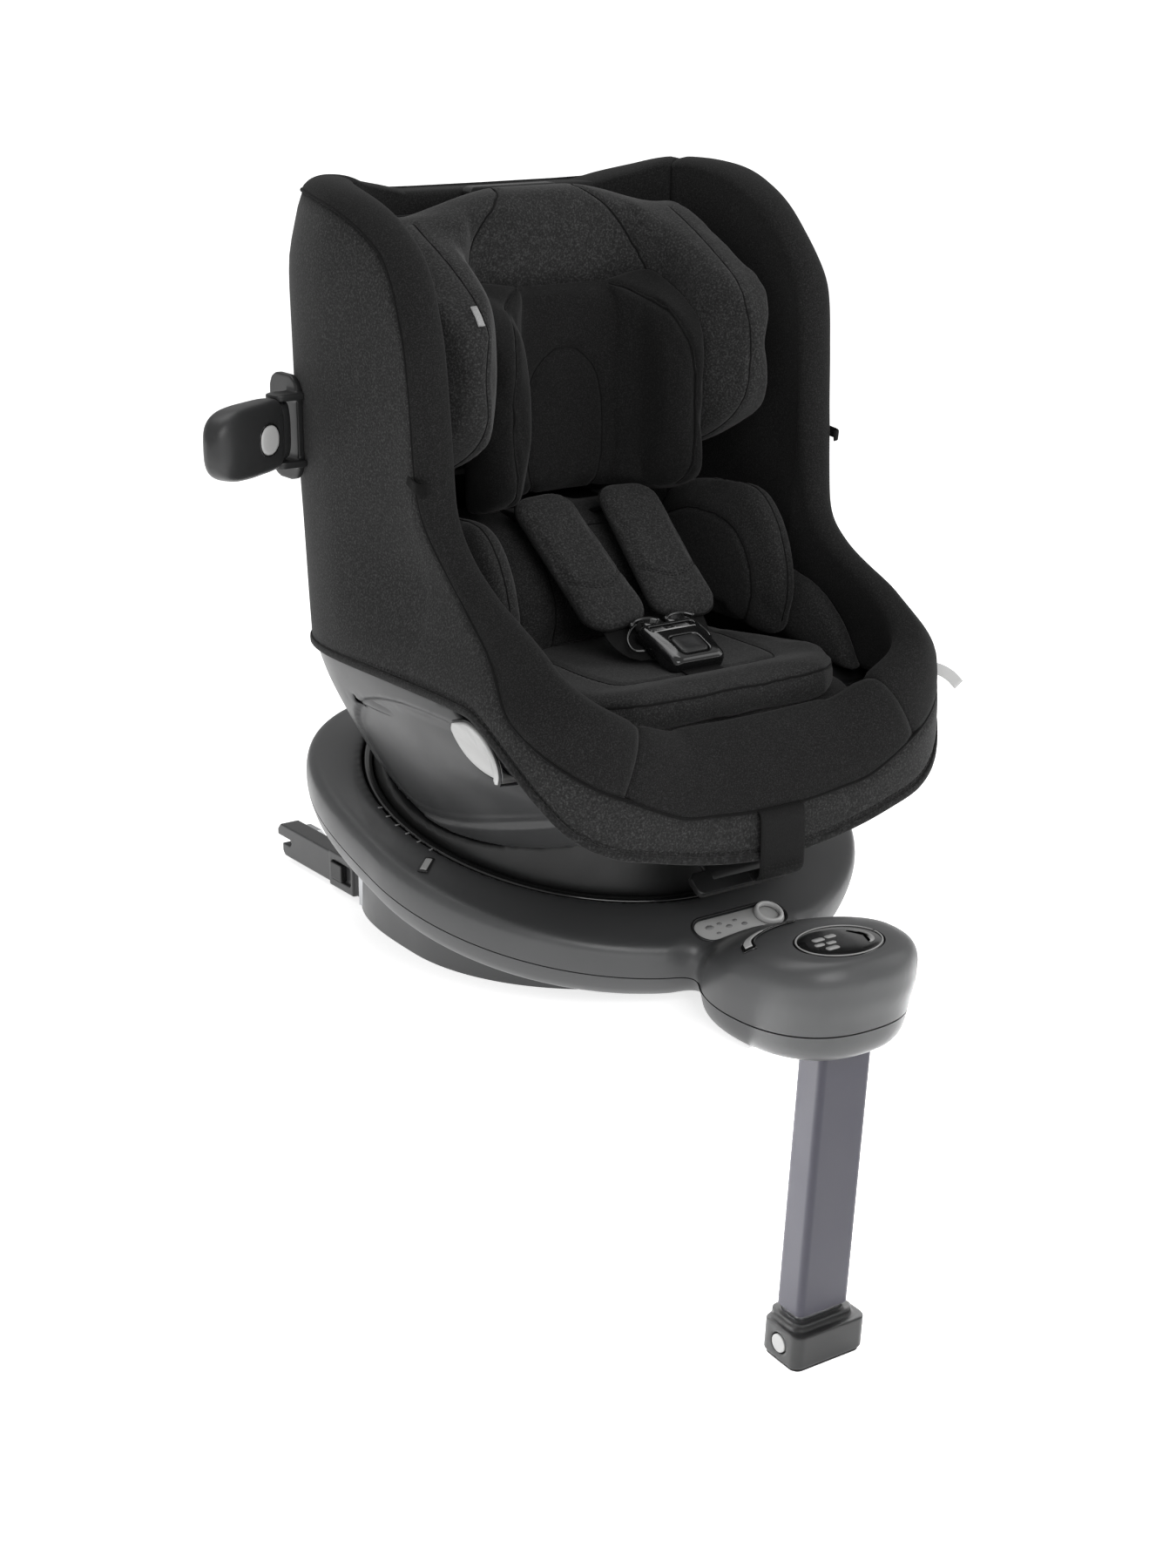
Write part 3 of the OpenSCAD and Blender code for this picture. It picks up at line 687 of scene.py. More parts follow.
def build_base():
    """Upper and lower shell, parted by a groove; a mask darkens the deck around the turntable."""
    upper = base_shell()
    sheared(upper, -1)
    lower = bpy.data.objects.new("base_lower", upper.data.copy())
    bpy.context.scene.collection.objects.link(lower)
    cut_plane(upper, Vector((0, 0, (SEAM_SPLIT_Z + 0.7) * MM)), Vector((0, 0, -1)), False, 5)
    cut_plane(lower, Vector((0, 0, (SEAM_SPLIT_Z - 0.7) * MM)), Vector((0, 0, 1)), False, 5)
    for obj in (upper, lower):
        sheared(obj, 1)
        shade_by_angle(obj)
    upper.name = "base_upper"
    dress(upper, "base", "base", "base_plastic", "base_upper_shell")
    dress(lower, "base", "base", "base_plastic", "base_lower_shell")
    p, n = coords(upper), normals(upper)
    v = (p[:, 1] - RING_Y) * math.cos(TILT) + (p[:, 2] - RING_Z) * math.sin(TILT)
    w = (p[:, 2] - RING_Z) * math.cos(TILT) - (p[:, 1] - RING_Y) * math.sin(TILT)
    reach = np.hypot(p[:, 0] / 222, (v + 28) / np.where(v < -28, 233, 220))
    lifted = smoothstep((w + 1.0) / 3.0)
    mask = smoothstep((1.0 - reach) / 0.012) * smoothstep((w + 15) / 2)
    mask *= (1 - lifted) * smoothstep(n[:, 2] / 0.3)
    attribute = upper.data.attributes.new("dark_mask", "FLOAT", "POINT")
    attribute.data.foreach_set("value", mask.astype(np.float32))


def build_base_details():
    """Slot lip, mode plate with its marks, slider, panel, light strips and the deck's pill light."""
    lip = stadium(94, 28, 64)
    path = slot_place(np.c_[np.vstack([lip, lip[:1]]), np.full(len(lip) + 1, 2.3)])
    dress(sweep("slot_lip", path, round_section(1.3, 1.1), (0, 0.25, 1)), "black", "base", "black_plastic")
    plate = prism("mode_plate_piece", stadium(90, 24, 64), 0.2, 1.5, slot_place)
    bevel(plate, 0.5)
    dress(plate, "plate", "base", "light_plastic", "mode_plate")
    marks = []
    for k, (x, y, size) in enumerate([(-30, 2, 4.2), (-19, 3.5, 2.6), (-12, -1.5, 3.2), (-3, 3.2, 2.4),
                                      (3, -3, 3.0), (-26, -6, 2.2)]):
        marks.append(prism(f"mark_{k}", oval(size, size * 0.55, size * 0.7, 0, 2, 2, 20) + [x, y],
                           1.35, 1.7, slot_place))
    dress(joined("mode_marks", marks), "mark", "base", "grey_plastic")

    turn = np.linspace(0, 2 * math.pi, 73)[:-1]
    section = [(8.6, 2.1), (9.2, 5.8), (9.8, 6.7), (11.6, 6.9), (12.6, 5.9), (13.2, 2.6), (12.6, 2.0)]
    rows = [slot_place(np.c_[30 + r * np.cos(turn), r * np.sin(turn), np.full(72, h)]) for r, h in section]
    rows.append(rows[0])
    slider = subdivide(grid("slider_ring", rows, True))
    dress(slider, "light", "direction_slider", "light_plastic", "direction_slider")

    def panel(scale, z):
        return np.c_[oval(38.6 * scale, 31.6 * scale, 31.6 * scale, -386, 2, 2, 96), np.full(96, z)]
    dome = loft("panel_dome", [panel(1, 80), panel(1, 85.4), panel(0.985, 86.4), panel(0.95, 87.0),
                               panel(0.7, 87.5), panel(0.35, 87.8)])
    dress(dome, "gloss", "base", "gloss_black", "control_panel")
    edge = panel(0.955, 87.25)
    dress(sweep("panel_ring", np.vstack([edge, edge[:2]]), round_section(0.75, 0.5, 6)), "pale", "base",
          "light_plastic")
    icons = [prism(f"icon_{k}", rounded(w, h, 2.2) + [x, y - 386], 87.2, 88.05)
             for k, (x, y, w, h) in enumerate([(-14, 9, 11, 6), (-1, 10, 10, 6), (-20, 0, 9, 5),
                                               (-9, -1, 9, 5), (-15, -10, 12, 6)])]
    crescent = np.vstack([oval(11, 15, 15, 0, 2, 2, 48)[12:37] * [-1, 1] + [16, 0],
                          (oval(6, 14, 14, 0, 2, 2, 48)[12:37] * [-1, 1] + [15, 0])[::-1]])
    icons.append(prism("icon_moon", crescent + [2, -388], 87.2, 88.0))
    dress(joined("panel_icons", icons), "pale", "base", "light_plastic", "indicator_lenses")

    bar = np.array([(-62, -352, 120), (-52, -336, 120), (-36, -326, 120), (-16, -320, 120), (6, -319, 120)])
    strip = curve(cast(bpy.data.objects["base_upper"], bar, (0, 0, -1), 200) + [0, 0, 0.4], 60)
    dress(sweep("housing_strip", strip, round_section(6.0, 0.9, 12, 4), (-0.2, 0.5, 1)), "gloss", "base",
          "gloss_black")
    dress(sweep("housing_mark", strip[4:34] + [0, 0.6, 0.9], round_section(3.2, 0.4, 10, 4), (-0.2, 0.5, 1)),
          "light", "base", "light_plastic")

    pill_path = np.array([ring_on_deck(x, y) for x, y in ((-201.5, -66), (-212, -74))])
    dress(sweep("deck_light", resample(pill_path, 12), round_section(3.2, 1.0, 12)), "pale", "base",
          "light_plastic")
    dress(sweep("deck_light_frame", resample(pill_path + (pill_path - pill_path.mean(0)) * 0.25, 12)
                - [0, 0, 0.4], round_section(4.6, 0.9, 12)), "black", "base", "black_plastic")


def ring_on_deck(u, v):
    """A point just over the deck's top, for a ring-frame place outside the turntable."""
    r = math.hypot(u, v)
    return ring(u, v, -2.0 - 7.0 * max(0.0, (r - 206) / 26))


def rounded(width, height, radius, steps=6):
    """A rectangle outline with round corners, centred."""
    corner = np.linspace(0, math.pi / 2, steps)
    points = []
    for k, (sx, sy) in enumerate(((1, 1), (-1, 1), (-1, -1), (1, -1))):
        a = corner + k * math.pi / 2
        points.append(np.c_[sx * (width / 2 - radius) + radius * np.cos(a),
                            sy * (height / 2 - radius) + radius * np.sin(a)])
    return np.vstack(points)


def bevel(obj, width, segments=2, angle=35):
    m = obj.modifiers.new("Bevel", "BEVEL")
    m.width, m.segments = width * MM, segments
    m.limit_method, m.angle_limit = "ANGLE", math.radians(angle)
    apply_modifiers(obj)
    return shade_by_angle(obj, 40)


# ---------------------------------------------------------------- turntable and seat bowl


def lathe(name, profile, steps=192, place=ring):
    """A solid of revolution about the ring axis, from (radius, height) points."""
    a = np.arange(steps) * 2 * math.pi / steps
    return loft(name, [place(r * np.cos(a), r * np.sin(a), w) for r, w in profile])


def build_turntable():
    """Black gap ring, flange and the dome that cradles the bowl."""
    gap = lathe("turntable_gap", [(196.6, -9.5), (196.6, -4.2), (194.5, -3.4), (190, -3.4), (188.5, -9)])
    dress(gap, "gloss", "turntable", "gloss_black")
    dome = lathe("dome_body", [(188, -10), (188, 1), (187, 8), (185.4, 18), (183.6, 30), (181.4, 44),
                               (178.6, 56), (176, 59.5), (170, 60.5)])
    boolean(dome, drum_solid("drum_cut", DRUM_R + 1.2))
    relief = drum_solid("relief", DRUM_R + 15)
    boolean(relief, prism("relief_keep", [(-300, 112), (300, 112), (300, 400), (-300, 400)], -5, 200,
                          lambda q: ring(*q.T)), "INTERSECT")
    boolean(dome, relief)
    remesh(dome, 2.6, 3)
    dome.name = "turntable_dome"
    dress(dome, "dome", "turntable", "base_plastic", "turntable_platform")
    dots = []
    for row, (start, end, w) in enumerate(((-128, -103, 12.0), (-126, -105, 19.5))):
        for k in range(5):
            a = math.radians(start + (end - start) * k / 4)
            r = 187.2 - 0.16 * w
            q = ring(r * math.cos(a), r * math.sin(a), w)
            out = unit(ring(2 * r * math.cos(a), 2 * r * math.sin(a), w) - q)
            dots.append(sweep(f"dot_{row}_{k}", np.array([q - out * 1.2, q + out * 0.1, q + out * 0.6]),
                              round_section(1.9, 1.2, 10), (0, 0.25, 1), np.array([1, 1, 0.6])))
    dress(joined("dome_dots", dots), "bowl", "turntable", "grey_plastic")
    ticks = []
    for k in range(6):
        a = math.radians(196 - 4.2 * k)
        q = ring(199.3 * math.cos(a), 199.3 * math.sin(a), -2.2)
        r = ring(203.4 * math.cos(a), 203.4 * math.sin(a), -2.2)
        ticks.append(sweep(f"tick_{k}", resample(np.array([q, r]), 4), round_section(1.0, 0.5, 8), (0, 0, 1)))
    dress(joined("deck_ticks", ticks), "mark", "base", "light_plastic")


def drum_solid(name, radius, half=320, steps=288):
    a = np.arange(steps) * 2 * math.pi / steps
    return loft(name, [ring(x, DRUM_V + radius * np.cos(a), DRUM_W + radius * np.sin(a))
                       for x in np.linspace(-half, half, 5)])


HEM_LINE = [(170, 263), (-95, 263), (-165, 262), (-215, 222), (-290, 146), (-318, 128), (-345, 118)]
LEAF = [(20, 176), (13, 212), (-22, 236), (-80, 249), (-150, 251), (-205, 243), (-236, 218), (-252, 186),
        (-250, 176), (-225, 166), (-170, 152), (-105, 138), (-50, 135), (-5, 147)]
LENS = [(-160, 245), (-182, 254), (-206, 249), (-222, 236), (-229, 222), (-224, 211), (-208, 207),
        (-188, 212), (-170, 227)]


def build_bowl():
    """The moulded bowl under the cover, with the leaf-shaped recess and the lens-shaped spin button."""
    levels = curve([(-10, 172, 170, 172, 2, 2), (8, 184, 184, 183, 2, 2.1), (20, 190, 190, 186, 2, 2.3),
                    (45, 200, 200, 194, 2.2, 3), (75, 210, 214, 200, 2.4, 4), (105, 218, 236, 206, 2.7, 4.4),
                    (135, 222, 258, 212, 3, 4.4), (200, 223, 260, 219, 3, 4.4), (262, 224, 262, 224, 3, 4.4)],
                   60)
    bowl = loft("seat_bowl_piece", [ring_level(oval(half, front, rear, 0, front_n, rear_n), w)
                                    for w, half, front, rear, front_n, rear_n in levels])
    boolean(bowl, drum_solid("drum_keep", DRUM_R), "INTERSECT")
    hem = np.array(HEM_LINE + [(-345, 20), (170, 20)], float) + [0, 3]
    boolean(bowl, loft("hem_keep", [[(x, y, z) for y, z in hem] for x in (-300, 300)]), "INTERSECT")
    boolean(bowl, prism("bowl_pocket", oval(213, 247, 145, -65, 3, 4, 96), 226, 400))
    remesh(bowl, 2.6, 4)
    leaf = curve(LEAF, 160, True)[:-1]
    p, n = coords(bowl), normals(bowl)
    side = np.where(n[:, 0] * np.sign(p[:, 0]) > 0.25)[0]
    depth = np.clip(inside_distance(p[side][:, 1:], leaf), -3, 12)
    p[side] -= n[side] * (3.6 * smoothstep(depth / 4.0) + 0.9 * smoothstep((depth - 8) / 2.5))[:, None]
    set_coords(bowl, p)
    relax(bowl, np.full(len(p), 0.4), 1)
    dress(bowl, "bowl", "bucket", "grey_plastic", "seat_bowl")
    tree = search_tree(bowl)
    for s, side_name in ((RIGHT, "right"), (LEFT, "left")):
        outline = curve(LENS, 72, True)[:-1]
        middle = outline.mean(0)
        rows = []
        for scale, lift in ((1.0, -3.0), (1.0, 1.0), (0.97, 1.9), (0.9, 2.4), (0.6, 2.9), (0.25, 3.1)):
            flat = middle + (outline - middle) * scale
            hits, x = [], s * 208.0
            for y, z in flat:
                hit = tree.ray_cast(Vector((s * 0.4, y * MM, z * MM)), Vector((-s, 0, 0)))
                x = hit[0].x / MM if hit[0] else x
                hits.append((x + s * lift, y, z))
            rows.append(hits)
        lens = loft(f"spin_lens_{side_name}", rows)
        dress(lens, "light", f"spin_button_{side_name}", "light_plastic", f"spin_button_{side_name}")
        rim = middle_grow(np.array(rows[1]) - [s * 1.2, 0, 0], 1.035)
        dress(sweep(f"lens_frame_{side_name}", np.vstack([rim, rim[:2]]), round_section(1.4, 1.2, 8),
                    (s, 0, 0)), "black", "bucket", "black_plastic")


def middle_grow(points, scale):
    return points.mean(0) + (points - points.mean(0)) * [1, scale, scale]


def inside_distance(points, outline):
    """Distance from an outline in the (y, z) plane: positive inside, negative outside."""
    a, b = outline, np.roll(outline, -1, 0)
    best = np.full(len(points), 1e9)
    inside = np.zeros(len(points), bool)
    for (ay, az), (by, bz) in zip(a, b):
        d = np.array([by - ay, bz - az])
        t = np.clip(((points - [ay, az]) @ d) / (d @ d), 0, 1)
        best = np.minimum(best, np.linalg.norm(points - ([ay, az] + t[:, None] * d), axis=1))
        crosses = (az > points[:, 1]) != (bz > points[:, 1])
        with np.errstate(divide="ignore", invalid="ignore"):
            at = (by - ay) * (points[:, 1] - az) / (bz - az) + ay
        inside ^= crosses & (points[:, 0] < at)
    return np.where(inside, best, -best)


# ---------------------------------------------------------------- outer cover and rim


# Points of the seam between cover and rim, front centre to rear centre, on the left side:
# x, y, z, then the roll there: width, share of it at the crest, crest height, inner edge height, fullness
SEAM = [(0, -309, 177, 46, 0.80, 68, 64, 1.5), (30, -309, 177.6, 46, 0.80, 67.5, 63.5, 1.5),
        (66, -309, 181, 46, 0.80, 65, 61, 1.5),
        (98, -308, 186, 45, 0.78, 63, 58, 1.55), (143, -304, 206, 43, 0.66, 56, 50, 1.7),
        (172, -295, 220, 42, 0.56, 56, 48, 1.9), (198, -274, 240, 42, 0.50, 50, 40, 2.0),
        (215, -240, 267, 42, 0.50, 42, 30, 2.0), (221, -216, 290, 41, 0.50, 32, 20, 2.0),
        (223, -186, 312, 40, 0.50, 22, 11, 2.0), (225, -152, 335, 38, 0.50, 16, 5, 2.0),
        (225, -126, 362, 37, 0.50, 13, 2, 2.0), (225, -110, 400, 38, 0.50, 13, 2, 2.0),
        (225, -104, 445, 40, 0.50, 13, 2, 2.0), (225, -101, 500, 40, 0.50, 13, 2, 2.0),
        (225, -93, 552, 40, 0.50, 13, 2, 2.0), (225, -74, 588, 40, 0.50, 13, 2, 2.0),
        (225, -44, 614, 40, 0.50, 13, 2, 2.0), (225, -2, 633, 40, 0.50, 13, 2, 2.0),
        (224, 48, 642, 40, 0.50, 12, 3, 2.0), (217, 97, 643, 44, 0.50, 12, 4, 2.0),
        (200, 122, 641, 48, 0.45, 13, 6, 2.0), (165, 134, 636, 47, 0.44, 13, 7, 2.0),
        (125, 137, 630, 46, 0.45, 13, 7, 2.0), (85, 138, 622, 45, 0.45, 14, 8, 2.0),
        (40, 138, 618, 45, 0.45, 14, 8, 2.0), (0, 138, 617, 45, 0.45, 14, 8, 2.0)]
HEM = [(0, -309, 136), (45, -309, 140), (86, -309, 147), (121, -307, 155), (158, -300, 164),
       (186, -286, 181), (203, -267, 205), (215, -239, 233), (222, -202, 259), (225, -165, 263.5),
       (225, -82, 264), (225, 33, 263), (219, 80, 263), (190, 128, 263), (0, 138, 263)]
WALL_FLOOR = 240.0
ROLL_STEPS = (12, 10)                   # rows from the seam to the crest, and on to the inner edge
INNER_EDGE = sum(ROLL_STEPS) - 1        # row where the roll becomes the inner wall


def half_plan():
    """Outline of the cover from front centre to rear centre, with arc length and outward normal."""
    a = np.linspace(-math.pi / 2, math.pi / 2, 1600)
    c, s = np.cos(a), np.sin(a)
    n = np.where(s < 0, 5.0, 4.2)
    reach = np.where(s < 0, 249, 198)
    line = resample(np.stack([225 * power(c, 2 / n), -60 + reach * power(s, 2 / n)], -1), 900)
    tangent = unit(np.gradient(line, axis=0))
    along = np.concatenate([[0], np.cumsum(np.linalg.norm(np.diff(line, axis=0), axis=1))])
    return line, np.stack([tangent[:, 1], -tangent[:, 0]], -1), along


PLAN, PLAN_OUT, PLAN_ALONG = half_plan()


def at_plan(s):
    """Plan point and outward normal at arc length s."""
    return (np.stack([np.interp(s, PLAN_ALONG, PLAN[:, k]) for k in (0, 1)], -1),
            unit(np.stack([np.interp(s, PLAN_ALONG, PLAN_OUT[:, k]) for k in (0, 1)], -1)))


def plan_place(points):
    """Arc length on the plan of the nearest outline point to each x, y."""
    return np.array([PLAN_ALONG[np.argmin(((PLAN - p[:2]) ** 2).sum(1))] for p in points])


def flare(s, z):
    """How far the cover leans outwards at a height: drawn in at its hem, wider at its top."""
    high = -4 + 8.0 * np.clip((z - 263) / 300, 0, 1.0) - 11 * smoothstep((z - 580) / 75)
    return high * smoothstep((s - 190) / 160)


def lean(points):
    """Draws the front of the wings in: a waist just above the arms, and a lean at the top."""
    p = np.array(points, float)
    x, y, z = p[..., 0], p[..., 1], p[..., 2]
    draw = 13 + 13 * np.exp(-((z - 345) / 42) ** 2) + 8 * smoothstep((z - 550) / 60)
    draw *= smoothstep((z - 262) / 50) * smoothstep((20 - y) / 130) * smoothstep((np.abs(x) - 140) / 80)
    p[..., 0] -= np.sign(x) * draw
    return p


def seam_samples(step=5.5):
    """Evenly spaced samples along SEAM: plan arc length, height and the roll's five numbers, smoothed."""
    table = np.array(SEAM, float)
    s = plan_place(table)
    packed = np.c_[s, table[:, 2], table[:, 3:] * [1, 40, 1, 1, 40]]
    line = curve(packed[:, :2], 2400)
    at = np.interp(line[:, 0], packed[:, 0], np.arange(len(packed)))
    rest = np.stack([np.interp(at, np.arange(len(packed)), packed[:, k]) for k in range(2, 7)], -1)
    full = np.c_[line, rest]
    along = np.concatenate([[0], np.cumsum(np.linalg.norm(np.diff(line, axis=0), axis=1))])
    pick = np.linspace(0, along[-1], int(along[-1] / step))
    out = np.stack([np.interp(pick, along, full[:, k]) for k in range(full.shape[1])], -1)
    out[:, 3] /= 40
    out[:, 6] /= 40
    kernel = np.ones(9) / 9
    for k in range(2, 7):
        padded = np.pad(out[:, k], 4, mode="reflect")
        out[:, k] = np.convolve(padded, kernel, "valid")
    return out


SAMPLES = seam_samples()


def cover_point(s, z, inset=0.0):
    flat, out = at_plan(s)
    push = flare(s, z) - inset
    return np.concatenate([flat + out * np.asarray(push)[..., None], np.asarray(z)[..., None]], -1)


def hem_height(s):
    table = np.array(HEM, float)
    line = curve(np.c_[plan_place(table), table[:, 2]], 400)
    return np.interp(s, line[:, 0], line[:, 1])


def cover_rows(rows=30, inset=0.0):
    s, top = SAMPLES[:, 0], SAMPLES[:, 1]
    low = hem_height(s)
    t = np.linspace(0, 1, rows)[:, None]
    z = low + (top - low) * t
    tuck = 2.2 * np.exp(-((z - top) / 5.0) ** 2) + 1.2 * np.exp(-((z - low - 7) / 3.0) ** 2)
    puff = 2.0 * np.sin(math.pi * t) * smoothstep((top - low) / 160)
    return cover_point(np.broadcast_to(s, z.shape), z, inset + tuck - puff)


def both_sides(half):
    """Columns for the whole loop, from the rear centre round the right side and front to the rear again."""
    return np.concatenate([mirrored(half)[:, ::-1], half[:, 1:]], 1)


def build_cover():
    """The melange cover with its bound and stitched hem, and the piping between cover and rim."""
    outer = both_sides(cover_rows())
    inner = both_sides(cover_rows(inset=3.0))[::-1]
    shell = lean(np.concatenate([outer, inner, outer[:1]], 0))
    cover = wear_in(grid("outer_cover_fabric", shell), 0.5, 0.018)
    dress(cover, "melange", "bucket", "melange_fabric", "outer_cover", fill=0.35)
    s = SAMPLES[:, 0]
    low = hem_height(s)
    edge = both_sides(cover_point(s, low + 1.6, np.full(len(s), -0.5))[None])[0]
    dress(sweep("hem_binding", resample(edge, 420), round_section(1.5, 3.2, 10, 3)), "melange_dark", "bucket",
          "melange_fabric")
    line = both_sides(cover_point(s, low + 7.6, np.full(len(s), 0.6))[None])[0]
    dress(stitches("hem_stitches", line), "thread", "bucket", "melange_fabric")
    edge = both_sides(lean(cover_point(s, SAMPLES[:, 1] + 0.2, np.full(len(s), 1.6)))[None])[0]
    dress(tube("rim_piping", resample(edge, 900), 1.5), "piping", "bucket", "black_fabric")


def roll_rows():
    """Rows of the padded rim: from the seam over the crest to the inner edge, and down the inner wall."""
    s, z, width, crest, rise, inner, full = SAMPLES.T
    seam = cover_point(s, z, np.full(len(s), 0.8))
    along = unit(np.gradient(seam, axis=0))
    out = np.c_[at_plan(s)[1], np.zeros(len(s))]
    up = unit(np.cross(out, along))
    up *= np.where(up[:, 2:3] <= -0.02, -1.0, 1.0)
    top = seam + up * rise[:, None] - out * (width * crest)[:, None]
    edge = seam + up * inner[:, None] - out * width[:, None]
    rows = []
    for start, steps in zip((seam, edge), ROLL_STEPS):
        centre = top - up * ((top - start) * up).sum(1, keepdims=True)
        part = []
        for a in np.linspace(0, math.pi / 2, steps):
            part.append(centre + (start - centre) * (math.cos(a) ** (2 / full))[:, None]
                        + (top - centre) * (math.sin(a) ** (2 / full))[:, None])
        rows.append(part)
    roll = rows[0] + rows[1][::-1][1:]
    for t in np.linspace(0, 1, 16)[1:]:
        wall = edge.copy()
        wall[:, 2] = edge[:, 2] * (1 - t) + np.minimum(WALL_FLOOR, edge[:, 2] - 2) * t
        wall[:, :2] += out[:, :2] * (1.2 * math.sin(math.pi * t))
        roll.append(wall)
    return np.array(roll)


def build_rim():
    """The padded black rim in four sewn lengths: front lip, two wings and the back."""
    half = lean(roll_rows())
    s = SAMPLES[:, 0]
    cuts = [0, np.searchsorted(s, 147), np.searchsorted(s, plan_place([(217, 95)])[0]), len(s)]
    names = (("front_lip", "front_lip_pad"), ("rim_wing", None), ("back_rim", "back_liner"))
    for k, (name, node) in enumerate(names):
        first, last = cuts[k], min(cuts[k + 1] + 1, len(s))
        part = half[:, first:last].copy()
        count = part.shape[1]
        dip = np.zeros(count)
        if k > 0:
            dip += np.exp(-(np.arange(count) / 1.3) ** 2)
        if k < 2:
            dip += np.exp(-((count - 1 - np.arange(count)) / 1.3) ** 2)
        core = part[[0, INNER_EDGE]].mean(0)
        fade = smoothstep((30 - np.arange(len(part))) / 10)
        part += (core - part) * 0.09 * fade[:, None, None] * dip[None, :, None]
        if name == "rim_wing":
            for side, side_name in ((RIGHT, "right"), (LEFT, "left")):
                rows = mirrored(part)[:, ::-1] if side == RIGHT else part
                obj = wear_in(thick_grid(f"rim_wing_{side_name}", rows, 2.2), 0.6, 0.03, side)
                dress(obj, "black_cloth", "bucket", "black_fabric", f"rim_pad_{side_name}", fill=0.6)
            continue
        rows = np.concatenate([mirrored(part)[:, ::-1], part[:, 1:]], 1) if k == 0 else \
            np.concatenate([part, mirrored(part)[:, ::-1][:, 1:]], 1)
        obj = wear_in(thick_grid(name, rows, 2.2), 0.5, 0.03)
        dress(obj, "black_cloth", "bucket", "black_fabric", node, fill=0.5)
    liner = remesh(cad_copy("back_liner_fabric", "back_liner"), 5, 4)
    dress(wear_in(liner, 0.6), "black_cloth", "bucket", "black_fabric", fill=0.4)
    shell = cad_copy("inner_shell", "seat_shell")
    p = lean(coords(shell))
    push = 9 + 8 * smoothstep((-130 - p[:, 1]) / 30)
    p[:, 0] -= np.sign(p[:, 0]) * push * smoothstep((np.abs(p[:, 0]) - 120) / 60)
    p[:, 2] -= 42 * smoothstep((-130 - p[:, 1]) / 60) * smoothstep((p[:, 2] - 180) / 60)
    p[:, 1] += 6 * smoothstep((-200 - p[:, 1]) / 40)
    set_coords(shell, p)
    dress(shell, "black", "bucket", "black_plastic", "seat_shell")


def thick_grid(name, rows, thickness):
    """A sheet of cloth-covered foam with a real thickness, its edges closed."""
    n = unit(np.cross(np.gradient(rows, axis=1), np.gradient(rows, axis=0)))
    for _ in range(3):
        n[1:-1] = unit(n[:-2] + n[2:] + n[1:-1])
    back = rows + n * thickness * inward_sign(rows, n)
    shell = np.concatenate([rows, back[::-1], rows[:1]], 0)
    count, cols = rows.shape[:2]
    faces = grid_faces(*shell.shape[:2])
    points = shell.reshape(-1, 3)
    for c in (0, cols - 1):
        for r in range(count - 1):
            q, opposite = r * cols + c, (2 * count - 1 - r) * cols + c
            faces.append((q, (r + 1) * cols + c, opposite - cols, opposite))
    return mesh_piece(name, points, faces)


def inward_sign(rows, n):
    """Which way along the normals the middle of the roll lies."""
    middle = rows[[0, INNER_EDGE]].mean(0)
    row = 8
    return 1.0 if ((middle - rows[row]) * n[row]).sum() > 0 else -1.0


# ---------------------------------------------------------------- headrest, insert and harness


def cast(obj, points, direction, reach=400):
    """Lays points on a surface along a direction; a point that misses keeps its place."""
    tree = search_tree(obj)
    d = Vector(direction).normalized()
    laid = []
    for p in np.asarray(points, float):
        start = Vector(p * MM) - d * reach * MM
        hit = tree.ray_cast(start, d)[0]
        laid.append(np.array(hit) / MM if hit else np.asarray(p))
    return np.array(laid)


def sewn(obj, path, body, name, depth=2.2, width=3.0, cord=0.9, material="piping", slot="black_fabric"):
    """A seam: a groove with a thin piping or thread lying in it."""
    line = nearest_on(obj, groove(obj, path, depth, width))
    for _ in range(4):
        line[1:-1] = (line[:-2] + line[2:] + 2 * line[1:-1]) / 4
    dress(tube(name, line, cord), material, body, slot)
    return line


